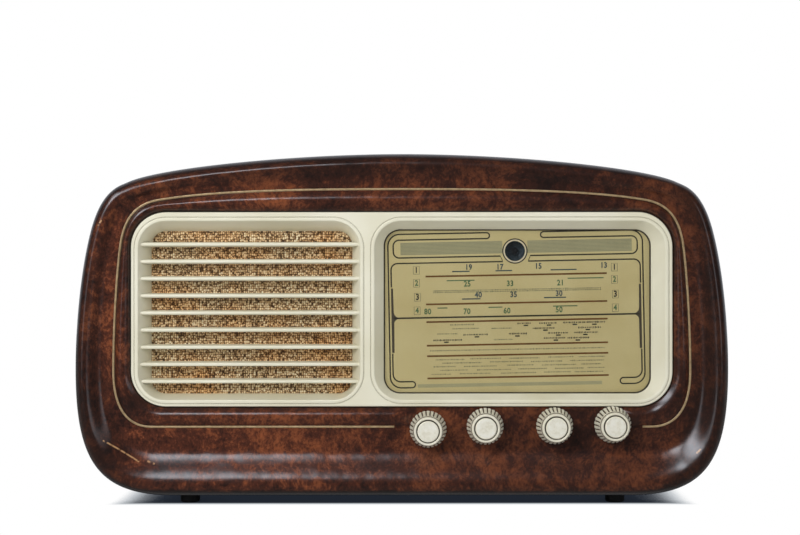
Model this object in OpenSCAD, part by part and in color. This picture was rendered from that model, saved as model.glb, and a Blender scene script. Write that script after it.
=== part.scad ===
// Table radio receiver: veneered cabinet with a moulded front frame, a louvred bezel with a
// glass dial, four knobs, and the chassis, cord drive and loudspeaker behind them.
// Millimetres, +Z up, front towards -Y, origin at the middle of the foot level.
// Depths are counted from the flat band of the front frame and grow towards the back.
// Places and spans are those of the drawn cabinet, and follow its width, height and depth.

/* [Cabinet] */
// Width of the cabinet across its moulded front
cab_w = 600; // [580:1:620]
// Height of the crown of the front above the table
cab_top = 324; // [322:0.5:330]
// Height of the underside of the front above the table
cab_bottom = 10; // [8:0.5:12]
// Width of the flat stretch of the underside
flat_w = 422; // [400:1:440]
// Height at which the front is widest
belly_z = 127; // [115:1:140]
// How far the shoulder lies inside the widest point
shoulder_in = 14; // [10:0.5:18]
// Height of the shoulder
shoulder_z = 254; // [246:1:260]
// How far the end of the crown lies inside the widest point
crown_in = 47; // [42:1:54]
// Drop of the end of the crown below the crown
crown_drop = 26; // [22:1:30]
// Depth from the band of the front to the rear edge of the shell
cab_depth = 228; // [224:1:240]
// Thickness of the bent plywood shell
shell_t = 8; // [7:0.5:9]
// Step from the front frame in to the shell
shell_step = 3; // [2:0.5:4]
// Depth of the rear rebate that takes the back panel
rebate_deep = 9; // [7:0.5:10]
// Width of the rear rebate
rebate_w = 4; // [3:0.5:5]

/* [Front frame] */
// Thickness of the front frame from the band to its back
frame_t = 22; // [20:0.5:24]
// Height of the crest in front of the band at the crown
crest_top = 6; // [4:0.5:8]
// Height of the crest in front of the band along the foot
crest_foot = 12; // [9:0.5:14]
// Distance of the crest from the outer edge
crest_in = 11; // [9:0.5:13]
// Depth at which the outer rounding meets the side
edge_y = 15; // [12:0.5:18]
// Share of the band that stays flat beside the inlay
band_flat = 0.33; // [0.2:0.01:0.5]
// Height of the half round roll beside the bezel
roll_h = 4; // [2:0.25:5]
// Width of the roll beside the bezel
roll_side = 16.5; // [14:0.5:18]
// Width of the roll above the bezel
roll_top = 21; // [18:0.5:23]
// Width of the roll below the bezel
roll_foot = 18.6; // [16:0.2:20]
// Width of the inlaid line
inlay_w = 2; // [1.5:0.1:3]
// Depth of the groove for the inlaid line
inlay_deep = 1.2; // [0.8:0.1:2]
// Height of the inlaid line above the band
inlay_proud = 0.4; // [0.1:0.1:0.6]
// Left end of the plain stretch behind the knobs
plain_x0 = -1; // [-8:0.5:2]
// Right end of the plain stretch behind the knobs
plain_x1 = 214; // [212:0.5:220]

/* [Bezel] */
// Width of the bezel
bezel_w = 494; // [486:1:500]
// Height of the bezel
bezel_h = 177.4; // [174:0.2:180]
// Height of the bezel's lower edge above the table
bezel_z = 92.6; // [92:0.2:95]
// Corner radius of the bezel
bezel_r = 32; // [26:1:36]
// Gap between the bezel and the wood
bezel_gap = 0.8; // [0.4:0.1:1.2]
// Height of the bezel's face in front of the band
bezel_proud = 2.5; // [1.5:0.1:3]
// Thickness of the moulded walls
bezel_t = 2.5; // [2:0.1:3]
// Width of the rim outside the left window
rim_left = 6.4; // [6:0.1:7.5]
// Width of the rim outside the right window
rim_right = 6.6; // [6:0.1:8]
// Width of the rim above the windows
rim_top = 8; // [7:0.1:9]
// Width of the rim below the windows
rim_foot = 6; // [5.6:0.1:6.8]
// Right edge of the louvred window
split_x = -37.8; // [-42:0.2:-34]
// Width of the bar between the windows
bar_w = 12.8; // [11:0.2:16]
// Corner radius of the windows
window_r = 25; // [22:1:28]
// Distance of the engraved line from the windows
line_out = 2.9; // [2.2:0.1:3]
// Width of the engraved line
line_w = 0.9; // [0.5:0.1:1.2]
// Depth of the engraved line
line_deep = 0.7; // [0.4:0.1:1]
// Radius of the screw bosses
boss_r = 3.4; // [3:0.1:3.6]
// Radius of the pilot holes in the bosses
pilot_r = 1.3; // [1:0.1:1.5]

/* [Louvres] */
// Number of louvres
louvre_n = 9; // [7:1:10]
// Distance from one louvre to the next
louvre_pitch = 15.7; // [14.5:0.1:16]
// Height of the lowest louvre above the table
louvre_z = 115.1; // [112:0.2:118]
// Height of a louvre's rounded nose
louvre_nose = 2.6; // [2:0.1:3.2]
// Height of a louvre at its back
louvre_back = 4.6; // [3.6:0.1:5.5]
// Depth of the noses behind the band
louvre_y0 = 2; // [1:0.5:4]
// Depth of a louvre from nose to back
louvre_deep = 15; // [12:0.5:16]
// How far the window closes in at its sides
louvre_in_side = 8.6; // [7:0.1:10]
// How far the window closes in at its top
louvre_in_top = 9; // [7:0.1:10]
// How far the window closes in at its foot
louvre_in_foot = 4.4; // [3.5:0.1:5.5]
// Corner radius of the cloth opening
cloth_r = 13; // [10:1:18]
// Thickness of the grille cloth
cloth_t = 0.8; // [0.6:0.1:1]
// How far the cloth reaches past its opening
cloth_lap = 3; // [2:0.5:4]

/* [Dial] */
// How far the dial window closes in at its left
dial_in_left = 8.4; // [7:0.1:10]
// How far the dial window closes in at its right
dial_in_right = 11.5; // [9:0.1:12]
// How far the dial window closes in at its top
dial_in_top = 7.7; // [6:0.1:9]
// How far the dial window closes in at its foot
dial_in_foot = 5; // [4.6:0.1:7]
// Depth of the front of the dial glass
glass_y = 11; // [10:0.5:11.5]
// Thickness of the dial glass
glass_t = 3; // [2:0.1:3]
// How far the glass reaches past its opening
glass_lap = 4.5; // [3.5:0.1:4.6]
// Corner radius of the dial opening
dial_r = 15; // [12:1:18]
// Left edge of the travel of the pointer
scale_x0 = 23.1; // [20:0.1:26]
// Share of the travel at which the pointer stands
pointer_share = 0.55; // [0.4:0.01:0.6]
// Width of the pointer's needle
needle_w = 1.2; // [0.8:0.1:2]
// Thickness of the pointer's needle
needle_t = 0.8; // [0.6:0.1:1]
// Height of the needle's tip above the table
needle_top = 223; // [200:1:226]
// Width of the pointer's carriage
carriage_w = 12; // [8:0.5:14]
// Depth of the dial backplate
backplate_y = 20; // [19:0.25:20.5]
// Thickness of the dial backplate
backplate_t = 1.2; // [1:0.1:1.4]
// Radius of the pointer rail
rail_r = 1.2; // [1:0.1:1.4]
// Height of the pointer rail above the table
rail_z = 99.8; // [99.4:0.1:100]
// Depth of the pointer rail
rail_y = 24.5; // [24:0.1:25]
// Distance of the tuning indicator valve from the cabinet's middle
eye_x = 104.1; // [100:0.1:112]
// Height of the tuning indicator valve above the table
eye_z = 234.6; // [233:0.2:236]
// Radius of the tuning indicator valve
eye_r = 13.5; // [12:0.25:14]
// Length of the tuning indicator valve's bulb
eye_len = 58; // [50:1:64]
// Depth of the face of the tuning indicator valve
eye_y = 17.5; // [17.2:0.1:18]

/* [Knobs] */
// Places of the tone, volume, tuning and band knobs across the front
knob_x = [24, 75.9, 139.2, 192.1];
// Heights of the four knobs above the table
knob_z = [72.2, 74.8, 75.2, 76.2];
// Radius of the fluted skirt
knob_r = 16.8; // [15:0.1:17]
// Height of a knob from the wood
knob_h = 24; // [22:0.5:26]
// Gap between a knob and the band
knob_gap = 3.5; // [3:0.25:5]
// Radius of the front ring
knob_ring_r = 13; // [12:0.1:14]
// Radius of the middle button
knob_button_r = 9.6; // [8.5:0.1:10]
// Number of flutes round the skirt
flute_n = 26; // [20:1:32]
// Width of a flute
flute_w = 1.2; // [0.8:0.1:1.6]
// Length of a flute along the skirt
flute_len = 10; // [8:0.5:12]
// Radius of the control shafts
shaft_r = 3; // [2.9:0.05:3.2]
// Depth of the bore in a knob from its back
knob_bore = 17; // [14:0.5:18]
// Radius of the shaft holes in the wood
hole_r = 4.6; // [4.2:0.1:5.5]

/* [Cord drive] */
// Pitch radius of the cord on the tuning spindle
spindle_r = 5.25; // [5:0.05:5.5]
// Pitch radius of the cord on the drum
drum_r = 52.5; // [51.5:0.1:52.6]
// Distance of the drum's axis from the cabinet's middle
drum_x = 94; // [90:0.5:97]
// Height of the drum's axis above the table
drum_z = 163; // [162.5:0.1:163.5]
// Depth of the front of the drum
drum_y = 28; // [27.6:0.1:28.4]
// Width of the drum's rim
drum_w = 10; // [9.6:0.1:10.5]
// Radius of the cord
cord_r = 0.5; // [0.35:0.05:0.6]
// Pitch radius of the guide pulleys
pulley_r = 6; // [5.6:0.1:6.4]
// Depth of the pointer cord
pointer_cord_y = 30.5; // [30.4:0.05:30.6]
// Depth of the drive cord
drive_cord_y = 35; // [34.8:0.05:35.2]
// Sideways step of the drive cord where it crosses
cross_step = 1.5; // [1.3:0.05:1.6]
// Gap between the end of the pointer's travel and a pulley
pulley_room = 7; // [6.5:0.1:8]

/* [Gang capacitor] */
// Width of the gang capacitor
gang_w = 50; // [46:1:54]
// Height of the gang capacitor
gang_h = 50; // [48:1:54]
// Depth of the gang capacitor's front plate
gang_y = 51; // [50.5:0.5:54]
// Length of the gang capacitor
gang_len = 68; // [64:1:70]
// Thickness of its end plates
gang_t = 1.6; // [1.2:0.1:2]
// Radius of the turning plates
rotor_r = 20; // [18:0.5:21]
// Number of turning plates in a section
rotor_n = 6; // [4:1:7]
// Distance from one plate to the next
plate_pitch = 3.4; // [3:0.1:3.6]
// Thickness of a plate
plate_t = 0.9; // [0.7:0.1:1]

/* [Chassis] */
// Left side of the chassis
chassis_x0 = -40; // [-44:1:-36]
// Right side of the chassis
chassis_x1 = 256; // [250:1:260]
// Depth of the front apron
chassis_y0 = 46; // [45.5:0.5:47]
// Depth of the rear apron
chassis_y1 = 214; // [212:0.5:215]
// Height of the chassis
chassis_h = 64; // [60:1:65]
// Height of the deck above the table
deck_z = 98; // [96.5:0.5:99]
// Thickness of the chassis steel
sheet_t = 1.2; // [1:0.1:1.5]
// Thickness of the speaker and dial panel
baffle_t = 6; // [5:0.5:6]
// Places of the three signal valves on the deck
signal_at = [[160, 82], [226, 96], [188, 152]];
// Place of the output valve on the deck
output_at = [76, 168];
// Place of the rectifier valve on the deck
rectifier_at = [36, 76];
// Places of the two tuned circuit cans on the deck
can_at = [[194, 78], [230, 148]];
// Place of the power transformer on the deck
power_at = [6, 164];
// Place of the output transformer on the deck
audio_at = [-12, 78];
// Place of the electrolytic capacitor on the deck
reservoir_at = [118, 184];
// Radius of a valve's bulb
valve_r = 11; // [10:0.25:12]
// Height of a signal valve
valve_h = 56; // [50:1:64]
// Height of the output and rectifier valves
power_valve_h = 68; // [60:1:76]
// Side of a tuned circuit can
can_w = 26; // [22:0.5:28]
// Height of a tuned circuit can
can_h = 58; // [50:1:66]
// Radius of the potentiometers
pot_r = 15.5; // [14:0.5:16]
// Depth of a potentiometer's can
pot_deep = 12; // [10:0.5:14]

/* [Loudspeaker] */
// Place of the loudspeaker across the front
speaker_x = -139.6; // [-142:0.2:-137]
// Height of the loudspeaker above the table
speaker_z = 177; // [175:0.5:179]
// Outer radius of the basket
basket_r = 80; // [78:0.5:82]
// Radius of the cone at its edge
cone_r = 68; // [66:0.5:69]
// Depth of the cone
cone_deep = 30; // [26:1:34]
// Radius of the voice coil
coil_r = 13; // [12:0.25:14]
// Radius of the magnet
magnet_r = 32; // [28:1:36]
// Depth of the magnet
magnet_deep = 26; // [22:1:30]

/* [Back and feet] */
// Thickness of the back panel
back_t = 3; // [2.5:0.25:4]
// Radius of the feet
foot_r = 9; // [8:0.25:10]
// Distance of the feet from the middle
foot_x = 199; // [190:1:205]
// Depth of the front feet
foot_y0 = 38; // [34:1:46]
// Depth of the rear feet
foot_y1 = 196; // [190:1:206]
// Radius of the wire holes in the sockets
socket_r = 2; // [1.9:0.05:2.1]
// Radius of the mains lead hole in its grommet
grommet_r = 3.5; // [3:0.1:4]
// Number of vent columns in the back panel
vent_n = 19; // [15:1:21]
// Width of a vent slot
vent_w = 5; // [4:0.25:6]

/* [Fits] */
// Radial clearance of a shaft that turns in a bush
run_fit = 0.05; // [0.03:0.01:0.08]
// Gap between pieces that move past each other
air = 0.3; // [0.25:0.05:0.4]
// Gap between pieces that drop into each other
loose = 0.4; // [0.3:0.05:0.6]

/* [Hidden] */
$fn = 48;
half_w = cab_w / 2;
band_y = (knob_gap + knob_h - cab_depth) / 2;

// The cabinet that the places and spans above were drawn for, and how the real one departs from it
drawn_w = 600;
drawn_top = 324;
drawn_depth = 228;
wide = cab_w / drawn_w;
tall = cab_top / drawn_top;
deep = cab_depth / drawn_depth;
real_bezel_w = bezel_w * wide;
real_split_x = split_x * wide;
real_scale_x0 = scale_x0 * wide;
real_eye_x = eye_x * wide;
real_knob_x = knob_x * wide;
real_plain_x0 = plain_x0 * wide;
real_plain_x1 = plain_x1 * wide;
real_drum_x = drum_x * wide;
real_chassis_x0 = chassis_x0 * wide;
real_chassis_x1 = chassis_x1 * wide;
real_speaker_x = speaker_x * wide;
real_foot_x = foot_x * wide;
real_belly_z = belly_z * tall;
real_shoulder_z = shoulder_z * tall;
real_bezel_h = bezel_h * tall;
real_bezel_z = bezel_z * tall;
real_louvre_z = louvre_z * tall;
real_louvre_pitch = louvre_pitch * tall;
real_needle_top = needle_top * tall;
real_rail_z = rail_z * tall;
real_eye_z = eye_z * tall;
real_knob_z = knob_z * tall;
real_drum_z = drum_z * tall;
real_deck_z = deck_z * tall;
real_speaker_z = speaker_z * tall;
real_chassis_y1 = chassis_y1 * deep;
real_foot_y1 = foot_y1 * deep;
real_output_at = on_deck(output_at);
real_rectifier_at = on_deck(rectifier_at);
real_power_at = on_deck(power_at);
real_audio_at = on_deck(audio_at);
real_reservoir_at = on_deck(reservoir_at);
real_signal_at = [for (p = signal_at) on_deck(p)];
real_can_at = [for (p = can_at) on_deck(p)];
real_drum_r = drum_r * min(wide, tall, 1);
function on_deck(p) = [p[0] * wide, p[1] * deep];

// Points on each stretch of the nested outlines, from the foot to the crown
steps = [8, 12, 5, 10, 8];
stations = 86;
// Reach of the handles that bend the lower corner, and the lean and fall of the upper one
corner_out = 0.78;
corner_up = 0.71;
lean = [10, 38];
fall = [27.7, 13.4];
fall_share = 0.235;
arc_handle = 0.5523;

// Outer edge, inlaid line and opening of the front as five cubic curves for the right half
shoulder = [half_w - shoulder_in, real_shoulder_z];
crown_end = [half_w - crown_in, cab_top - crown_drop];
outer_curve = [
    straight([0, cab_bottom], [flat_w / 2, cab_bottom]),
    [[flat_w / 2, cab_bottom],
     [flat_w / 2 + (half_w - flat_w / 2) * corner_out, cab_bottom],
     [half_w, real_belly_z - (real_belly_z - cab_bottom) * corner_up],
     [half_w, real_belly_z]],
    [[half_w, real_belly_z], [half_w, real_belly_z + lean[1]], shoulder + [lean[0], -lean[1]], shoulder],
    [shoulder, shoulder + [-lean[0], lean[1]],
     crown_end + [fall[0], -fall[1]] * fall_share, crown_end],
    [crown_end, crown_end + [-fall[0], fall[1]], [crown_end[0] * 0.4, cab_top], [0, cab_top]]];
line_x = real_bezel_w / 2 + roll_side;
line_foot = real_bezel_z - roll_foot;
line_top = real_bezel_z + real_bezel_h + roll_top;
inlay_curve = [
    straight([0, line_foot], [line_x - 35.5, line_foot]),
    [[line_x - 35.5, line_foot], [line_x - 13.5, line_foot],
     [line_x, line_foot + 16], [line_x, line_foot + 51]],
    [[line_x, line_foot + 51], [line_x, line_foot + 91],
     [line_x - 3, line_top - 76], [line_x - 6.5, line_top - 51]],
    [[line_x - 6.5, line_top - 51], [line_x - 10, line_top - 26],
     [line_x - 20.5, line_top - 13.5], [line_x - 41.5, line_top - 9.8]],
    [[line_x - 41.5, line_top - 9.8], [line_x - 93.5, line_top - 0.7],
     [line_x * 0.3, line_top], [0, line_top]]];
hole_x = real_bezel_w / 2 + bezel_gap;
hole_z = [real_bezel_z - bezel_gap, real_bezel_z + real_bezel_h + bezel_gap];
hole_corner = bezel_r + bezel_gap;
bend = hole_corner * (1 - arc_handle);
hole_curve = [
    straight([0, hole_z[0]], [hole_x - hole_corner, hole_z[0]]),
    [[hole_x - hole_corner, hole_z[0]], [hole_x - bend, hole_z[0]],
     [hole_x, hole_z[0] + bend], [hole_x, hole_z[0] + hole_corner]],
    straight([hole_x, hole_z[0] + hole_corner], [hole_x, hole_z[1] - hole_corner]),
    [[hole_x, hole_z[1] - hole_corner], [hole_x, hole_z[1] - bend],
     [hole_x - bend, hole_z[1]], [hole_x - hole_corner, hole_z[1]]],
    straight([hole_x - hole_corner, hole_z[1]], [0, hole_z[1]])];

function straight(a, b) = [a, a + (b - a) / 3, b - (b - a) / 3, b];
function cubic(c, t) = pow(1 - t, 3) * c[0] + 3 * pow(1 - t, 2) * t * c[1]
    + 3 * (1 - t) * t * t * c[2] + pow(t, 3) * c[3];
function right_half(curve) = [for (s = [0:4], k = [0:steps[s] - 1]) cubic(curve[s], k / steps[s])];
// A whole outline, counter-clockwise seen from the front, from the middle of the foot
function loop_of(curve) = let (half = right_half(curve)) concat(half, [curve[4][3]],
    [for (k = [len(half) - 1:-1:1]) [-half[k][0], half[k][1]]]);
function unit(v) = v / norm(v);
function outward(loop, i) = let (n = len(loop), t = unit(loop[(i + 1) % n] - loop[(i + n - 1) % n]))
    [t[1], -t[0]];
function grown(loop, d) = [for (i = [0:len(loop) - 1]) loop[i] + outward(loop, i) * d];
function smooth(t) = t * t * (3 - 2 * t);
function clamp(t) = max(0, min(1, t));
function at_depth(points, y) = [for (p = points) [p[0], y, p[1]]];
function between(a, b, t) = a + (b - a) * t;
function inset(span, low, high) = [span[0] + low, span[1] - high];
function about(c, half) = [c - half, c + half];

// A rectangle with round corners, counter-clockwise seen from the front
function rounded(x, z, r, n = 6) = let (c = [[x[0] + r, z[0] + r], [x[1] - r, z[0] + r],
    [x[1] - r, z[1] - r], [x[0] + r, z[1] - r]])
    [for (q = [0:3], k = [0:n]) let (a = 180 + 90 * (q + k / n)) c[q] + r * [cos(a), sin(a)]];

outer_loop = loop_of(outer_curve);
inlay_loop = loop_of(inlay_curve);
hole_loop = loop_of(hole_curve);
crest_loop = grown(outer_loop, -crest_in);
shell_in = shell_step + shell_t;

// Bezel windows, as spans across and up, at the face and where they end
bezel_x = [-real_bezel_w / 2, real_bezel_w / 2];
bezel_span = [real_bezel_z, real_bezel_z + real_bezel_h];
face_y = -bezel_proud;
window_z = inset(bezel_span, rim_foot, rim_top);
louvre_x = [bezel_x[0] + rim_left, real_split_x];
dial_x = [real_split_x + bar_w, bezel_x[1] - rim_right];
cloth_y = frame_t - cloth_t;
cloth_x = inset(louvre_x, louvre_in_side, louvre_in_side);
cloth_z = inset(window_z, louvre_in_foot, louvre_in_top);
glass_x = inset(dial_x, dial_in_left, dial_in_right);
glass_z = inset(window_z, dial_in_foot, dial_in_top);
glass_back = glass_y + glass_t;
pane_x = inset(glass_x, -glass_lap, -glass_lap);
pane_z = inset(glass_z, -glass_lap, -glass_lap);
side_boss_x = bezel_x[0] + bezel_t + boss_r + 1.4;
right_boss_x = bezel_x[1] - bezel_t - boss_r - 2.1;
bar_boss_x = real_split_x + bar_w - 4;
top_boss_z = bezel_span[1] - bezel_t - boss_r - 1.6;
foot_boss_z = bezel_span[0] + bezel_t + boss_r - 0.9;
bezel_bosses = [[side_boss_x, 140], [side_boss_x, 222], [bar_boss_x - 2, top_boss_z],
    [bar_boss_x - 2, foot_boss_z], [right_boss_x, 181], [110, top_boss_z]];
clip_z = [pane_z[0] + 31, pane_z[1] - 29];
clip_t = 0.8;
clip_w = 10;
clip_hold = 4;

// Baffle, backplate and the run of the pointer
baffle_back = frame_t + baffle_t;
plate_x = inset(pane_x, -0.9, 1.4);
plate_z = [real_rail_z + 3.2, pane_z[1] - 2.7];
plate_back = backplate_y + backplate_t;
dial_open_x = inset(plate_x, -4, -3);
dial_open_z = [bezel_span[0] + 2.4, plate_z[1] + 2.5];
travel = PI * real_drum_r;
pointer_x = real_scale_x0 + travel * pointer_share;
run_z = real_rail_z + 2.6;
pulley_z = run_z + pulley_r;
pulley_flange = pulley_r + 1.2;
pulley_w = 4;
pulley_x = [real_scale_x0 - carriage_w / 2 - pulley_room - pulley_flange,
    real_scale_x0 + travel + carriage_w / 2 + pulley_room + pulley_flange];
stud_r = 1.5;
lamp_x = [plate_x[0] + 16, plate_x[1] - 16];
lamp_z = plate_z[1] - 18;
lamp_r = 5;
needle_y = glass_back + 1.6;
tab_z = [44, 94] * tall;
tab_w = 12;

// Chassis
chassis_z0 = real_deck_z - chassis_h;
floor_z = cab_bottom + shell_in;
rail_at = [-20, 176] * wide;
rail_half = 8;
bolt_inset = 7;
lip_w = 14;
apron_back = chassis_y0 + sheet_t;
bush_r = 4.75;
bush_front = 8;
nut_t = 4;
nut_r = 7.4;
shaft_front = -knob_gap - knob_bore + 0.5;
shaft_end = apron_back + 8.8;
pot_wall = 1.2;
wafer_y = [62, 78];
rear_z = 60 * tall;
socket_plates_x = [90, 150, 210] * wide;
socket_gap = 10;
selector_x = 20 * wide;
selector_r = 15;
grommet_x = -20 * wide;
grommet_neck = 5.9;
socket_top = real_deck_z + 6;

// Loudspeaker
speaker_y = baffle_back;
cone_y = speaker_y + 2 + air + 0.1;
basket_t = 1.6;
flange_in = cone_r + 1;
basket_wall = 6;
speaker_nut_r = 3.5;
baffle_hole_r = cone_r - 2;
basket_y = cone_y + cone_deep + 3.2;
speaker_bolt_at = (flange_in + basket_r) / 2;
gap_plate_t = 4;

// Screws
screw_r = 1.25;
screw_len = 16;
screw_head = [3.4, 2.2];
frame_screws_i = [3, 17, 25, 38, 48, 61, 69, 83];
back_screws_i = [14, 22, 30, 39, 47, 56, 64, 72, 82];
block = 18;
back_y = cab_depth - rebate_deep;
frame_screws = [for (i = frame_screws_i) grown(outer_loop, -30)[i]];
back_screws_at = [for (i = back_screws_i) grown(outer_loop, -shell_in - 5)[i]];

// Helpers: depths counted from the band, boxes by their spans, rods and turned shapes along the depth
module seated() translate([0, band_y, 0]) children();
module slab(x, y, z) translate([x[0], y[0], z[0]]) cube([x[1] - x[0], y[1] - y[0], z[1] - z[0]]);
module rod(at, y, r) translate([at[0], y[0], at[1]]) rotate([-90, 0, 0]) cylinder(r = r, h = y[1] - y[0]);
module turned(at, y) translate([at[0], y, at[1]]) rotate([-90, 0, 0]) rotate_extrude() children();
module plate(points, y) translate([0, y[1], 0]) rotate([90, 0, 0]) linear_extrude(y[1] - y[0])
    polygon(points);
// A rectangle of a turned profile: radii and depths
module band(r, y) translate([r[0], y[0]]) square([r[1] - r[0], y[1] - y[0]]);

// Joins rings of points into a solid; they run counter-clockwise seen from the last ring
module loft(rings, closed = false) {
    m = len(rings[0]);
    n = len(rings);
    points = [for (ring = rings) for (p = ring) p];
    sides = [for (i = [0:(closed ? n : n - 1) - 1], j = [0:m - 1])
        let (k = (j + 1) % m, up = ((i + 1) % n) * m)
        each [[i * m + j, up + k, i * m + k], [i * m + j, up + j, up + k]]];
    ends = closed ? [] : [[for (j = [0:m - 1]) j], [for (j = [m - 1:-1:0]) (n - 1) * m + j]];
    polyhedron(points, concat(sides, ends));
}

// How much of the roll and groove a station keeps: none in the plain stretch behind the knobs
function kept(p) = p[1] > real_bezel_z ? 1
    : 1 - smooth(clamp((p[0] - real_plain_x0) / 12)) * smooth(clamp((real_plain_x1 - p[0]) / 12));
function crest_h(z) = between(crest_foot, crest_top, clamp((z - cab_bottom) / (cab_top - cab_bottom)));

// The moulding's section at one station: opening, roll, groove, flat, wave, crest and outer round
function section(i) = let (
    a = hole_loop[i], g = inlay_loop[i], n = outward(inlay_loop, i), o = outer_loop[i],
    no = outward(outer_loop, i), c = crest_loop[i], h = crest_h(o[1]), k = kept(g),
    g0 = g - n * inlay_w / 2, g1 = g + n * inlay_w / 2, deep = inlay_deep * max(k, 0.05))
    concat(
        [[a[0], frame_t, a[1]], [a[0], 0, a[1]]],
        [for (j = [1:6]) let (p = between(a, g0, j / 7))
            [p[0], -roll_h * k * sin(180 * j / 7), p[1]]],
        at_depth([g0], 0), at_depth([g0], deep), at_depth([g1], deep), at_depth([g1], 0),
        [for (j = [0:6]) let (p = between(g1, c, band_flat + (1 - band_flat) * j / 6))
            [p[0], -h * smooth(j / 6), p[1]]],
        [for (j = [1:5]) let (p = c + no * crest_in * sin(18 * j))
            [p[0], edge_y - (edge_y + h) * cos(18 * j), p[1]]],
        [[o[0], frame_t, o[1]]]);

module front_frame() color("saddlebrown") seated() difference() {
    loft([for (i = [0:stations - 1]) section(i)], closed = true);
    for (k = [0:3]) rod([real_knob_x[k], real_knob_z[k]], [-crest_foot, frame_t + 1], hole_r);
    for (p = frame_screws) rod(p, [frame_t - 12, frame_t + 1], pilot_r);
}

module inlay_line() color("tan") seated() {
    route = concat([[real_plain_x1 + 6, line_foot]],
        [for (i = [steps[0]:stations - steps[0]]) inlay_loop[i]], [[real_plain_x0 - 6, line_foot]]);
    half = inlay_w / 2 - run_fit;
    loft([for (i = [0:len(route) - 1])
        let (n = i == 0 || i == len(route) - 1 ? [0, -1] : outward(route, i),
            a = route[i] - n * half, b = route[i] + n * half, foot = i == 0 ? inlay_deep * 0.65 : inlay_deep)
        [[a[0], foot, a[1]], [a[0], -inlay_proud, a[1]],
         [b[0], -inlay_proud, b[1]], [b[0], foot, b[1]]]]);
}

module cabinet_shell() color("sienna") seated() difference() {
    union() {
        difference() {
            plate(grown(outer_loop, -shell_step), [frame_t, cab_depth]);
            plate(grown(outer_loop, -shell_in), [frame_t - 1, cab_depth + 1]);
        }
        for (p = back_screws_at) slab(about(p[0], block / 2), [back_y - block, back_y],
            about(p[1], block / 2));
    }
    plate(grown(outer_loop, -shell_in + rebate_w), [back_y, cab_depth + 1]);
    for (p = back_screws_at) rod(p, [back_y - screw_len, back_y + 1], pilot_r);
    for (x = [-real_foot_x, real_foot_x], y = [foot_y0, real_foot_y1])
        translate([x, y, cab_bottom]) cylinder(r = pilot_r, h = shell_in - 1);
    for (x = rail_at, y = [chassis_y0 + bolt_inset, real_chassis_y1 - bolt_inset])
        translate([x, y, cab_bottom]) cylinder(r = 2.7, h = shell_in + 1);
}

module back_panel() color("peru") seated() difference() {
    plate(grown(outer_loop, -shell_in + rebate_w - loose), [back_y, back_y + back_t]);
    for (p = back_screws_at) rod(p, [back_y - 1, back_y + back_t + 1], screw_r + 0.4);
    for (c = [0:vent_n - 1], z = [112, 160, 208] * tall)
        let (x = (c - (vent_n - 1) / 2) * 23 * wide)
        slab(about(x, vent_w / 2), [back_y - 1, back_y + back_t + 1], [z, z + 38]);
    slab([real_chassis_x0 + 6, socket_plates_x[2] + 26], [back_y - 1, back_y + back_t + 1],
        [rear_z - 21, rear_z + 21]);
}

module wood_screw(at, y) {
    rod(at, [y - screw_len, y], screw_r);
    turned(at, y) polygon([[0, 0], [screw_head[0], 0], [screw_head[0] * 0.8, screw_head[1] * 0.7],
        [screw_head[0] * 0.4, screw_head[1]], [0, screw_head[1]]]);
}
module wood_screws() color("goldenrod") seated() {
    for (p = concat(bezel_bosses, frame_screws)) wood_screw(p, baffle_back);
    for (p = back_screws_at) wood_screw(p, back_y + back_t);
}

module foot_places() for (x = [-real_foot_x, real_foot_x], y = [foot_y0, real_foot_y1]) translate([x, y, 0]) children();
foot_h = cab_bottom + shell_step;
foot_seat = 5;
module feet() color("dimgray") seated() foot_places() rotate_extrude()
    polygon([[4.2, 0], [foot_r - 1.5, 0], [foot_r, 1.5], [foot_r, foot_h], [1.7, foot_h],
        [1.7, foot_seat], [4.2, foot_seat]]);
module foot_screws() color("silver") seated() foot_places() rotate_extrude()
    polygon([[0, foot_seat - screw_head[1]], [screw_head[0], foot_seat - screw_head[1]],
        [screw_head[0], foot_seat], [screw_r, foot_seat], [screw_r, foot_h + 6], [0, foot_h + 6]]);

// A window's outline at a share of the way in, grown by a wall
function louvre_window(t, wall) = rounded(
    inset(louvre_x, louvre_in_side * t - wall, louvre_in_side * t - wall),
    inset(window_z, louvre_in_foot * t - wall, louvre_in_top * t - wall), between(window_r, cloth_r, t) + wall);
function dial_window(t, wall) = rounded(
    inset(dial_x, dial_in_left * t - wall, dial_in_right * t - wall),
    inset(window_z, dial_in_foot * t - wall, dial_in_top * t - wall),
    between(window_r, dial_r, t) + wall);
function louvre_depth(t) = between(face_y, cloth_y, t);
function dial_depth(t) = between(face_y, glass_y, t);
function louvre_share(y) = (y - face_y) / (cloth_y - face_y);

// One louvre: a round nose that thickens towards the back, its ends sunk in the sloping walls
module louvre(z) {
    r = louvre_nose / 2;
    y1 = louvre_y0 + louvre_deep;
    profile = concat([[y1, louvre_back / 2]],
        [for (a = [90:30:270]) [louvre_y0 + r + r * cos(a), r * sin(a)]], [[y1, -louvre_back / 2]]);
    loft([for (s = [0, 1]) [for (p = profile)
        let (d = louvre_in_side * louvre_share(p[0]) - bezel_t / 2)
        [s == 0 ? louvre_x[0] + d : louvre_x[1] - d, p[0], z + p[1]]]]);
}

// The thin line engraved round a window
module engraved(x, z) difference() {
    plate(rounded(x + [-1, 1] * (line_out + line_w), z + [-1, 1] * (line_out + line_w),
        window_r + line_out + line_w), [face_y - 1, face_y + line_deep]);
    plate(rounded(x + [-1, 1] * line_out, z + [-1, 1] * line_out, window_r + line_out),
        [face_y - 2, face_y + line_deep + 1]);
}

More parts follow.
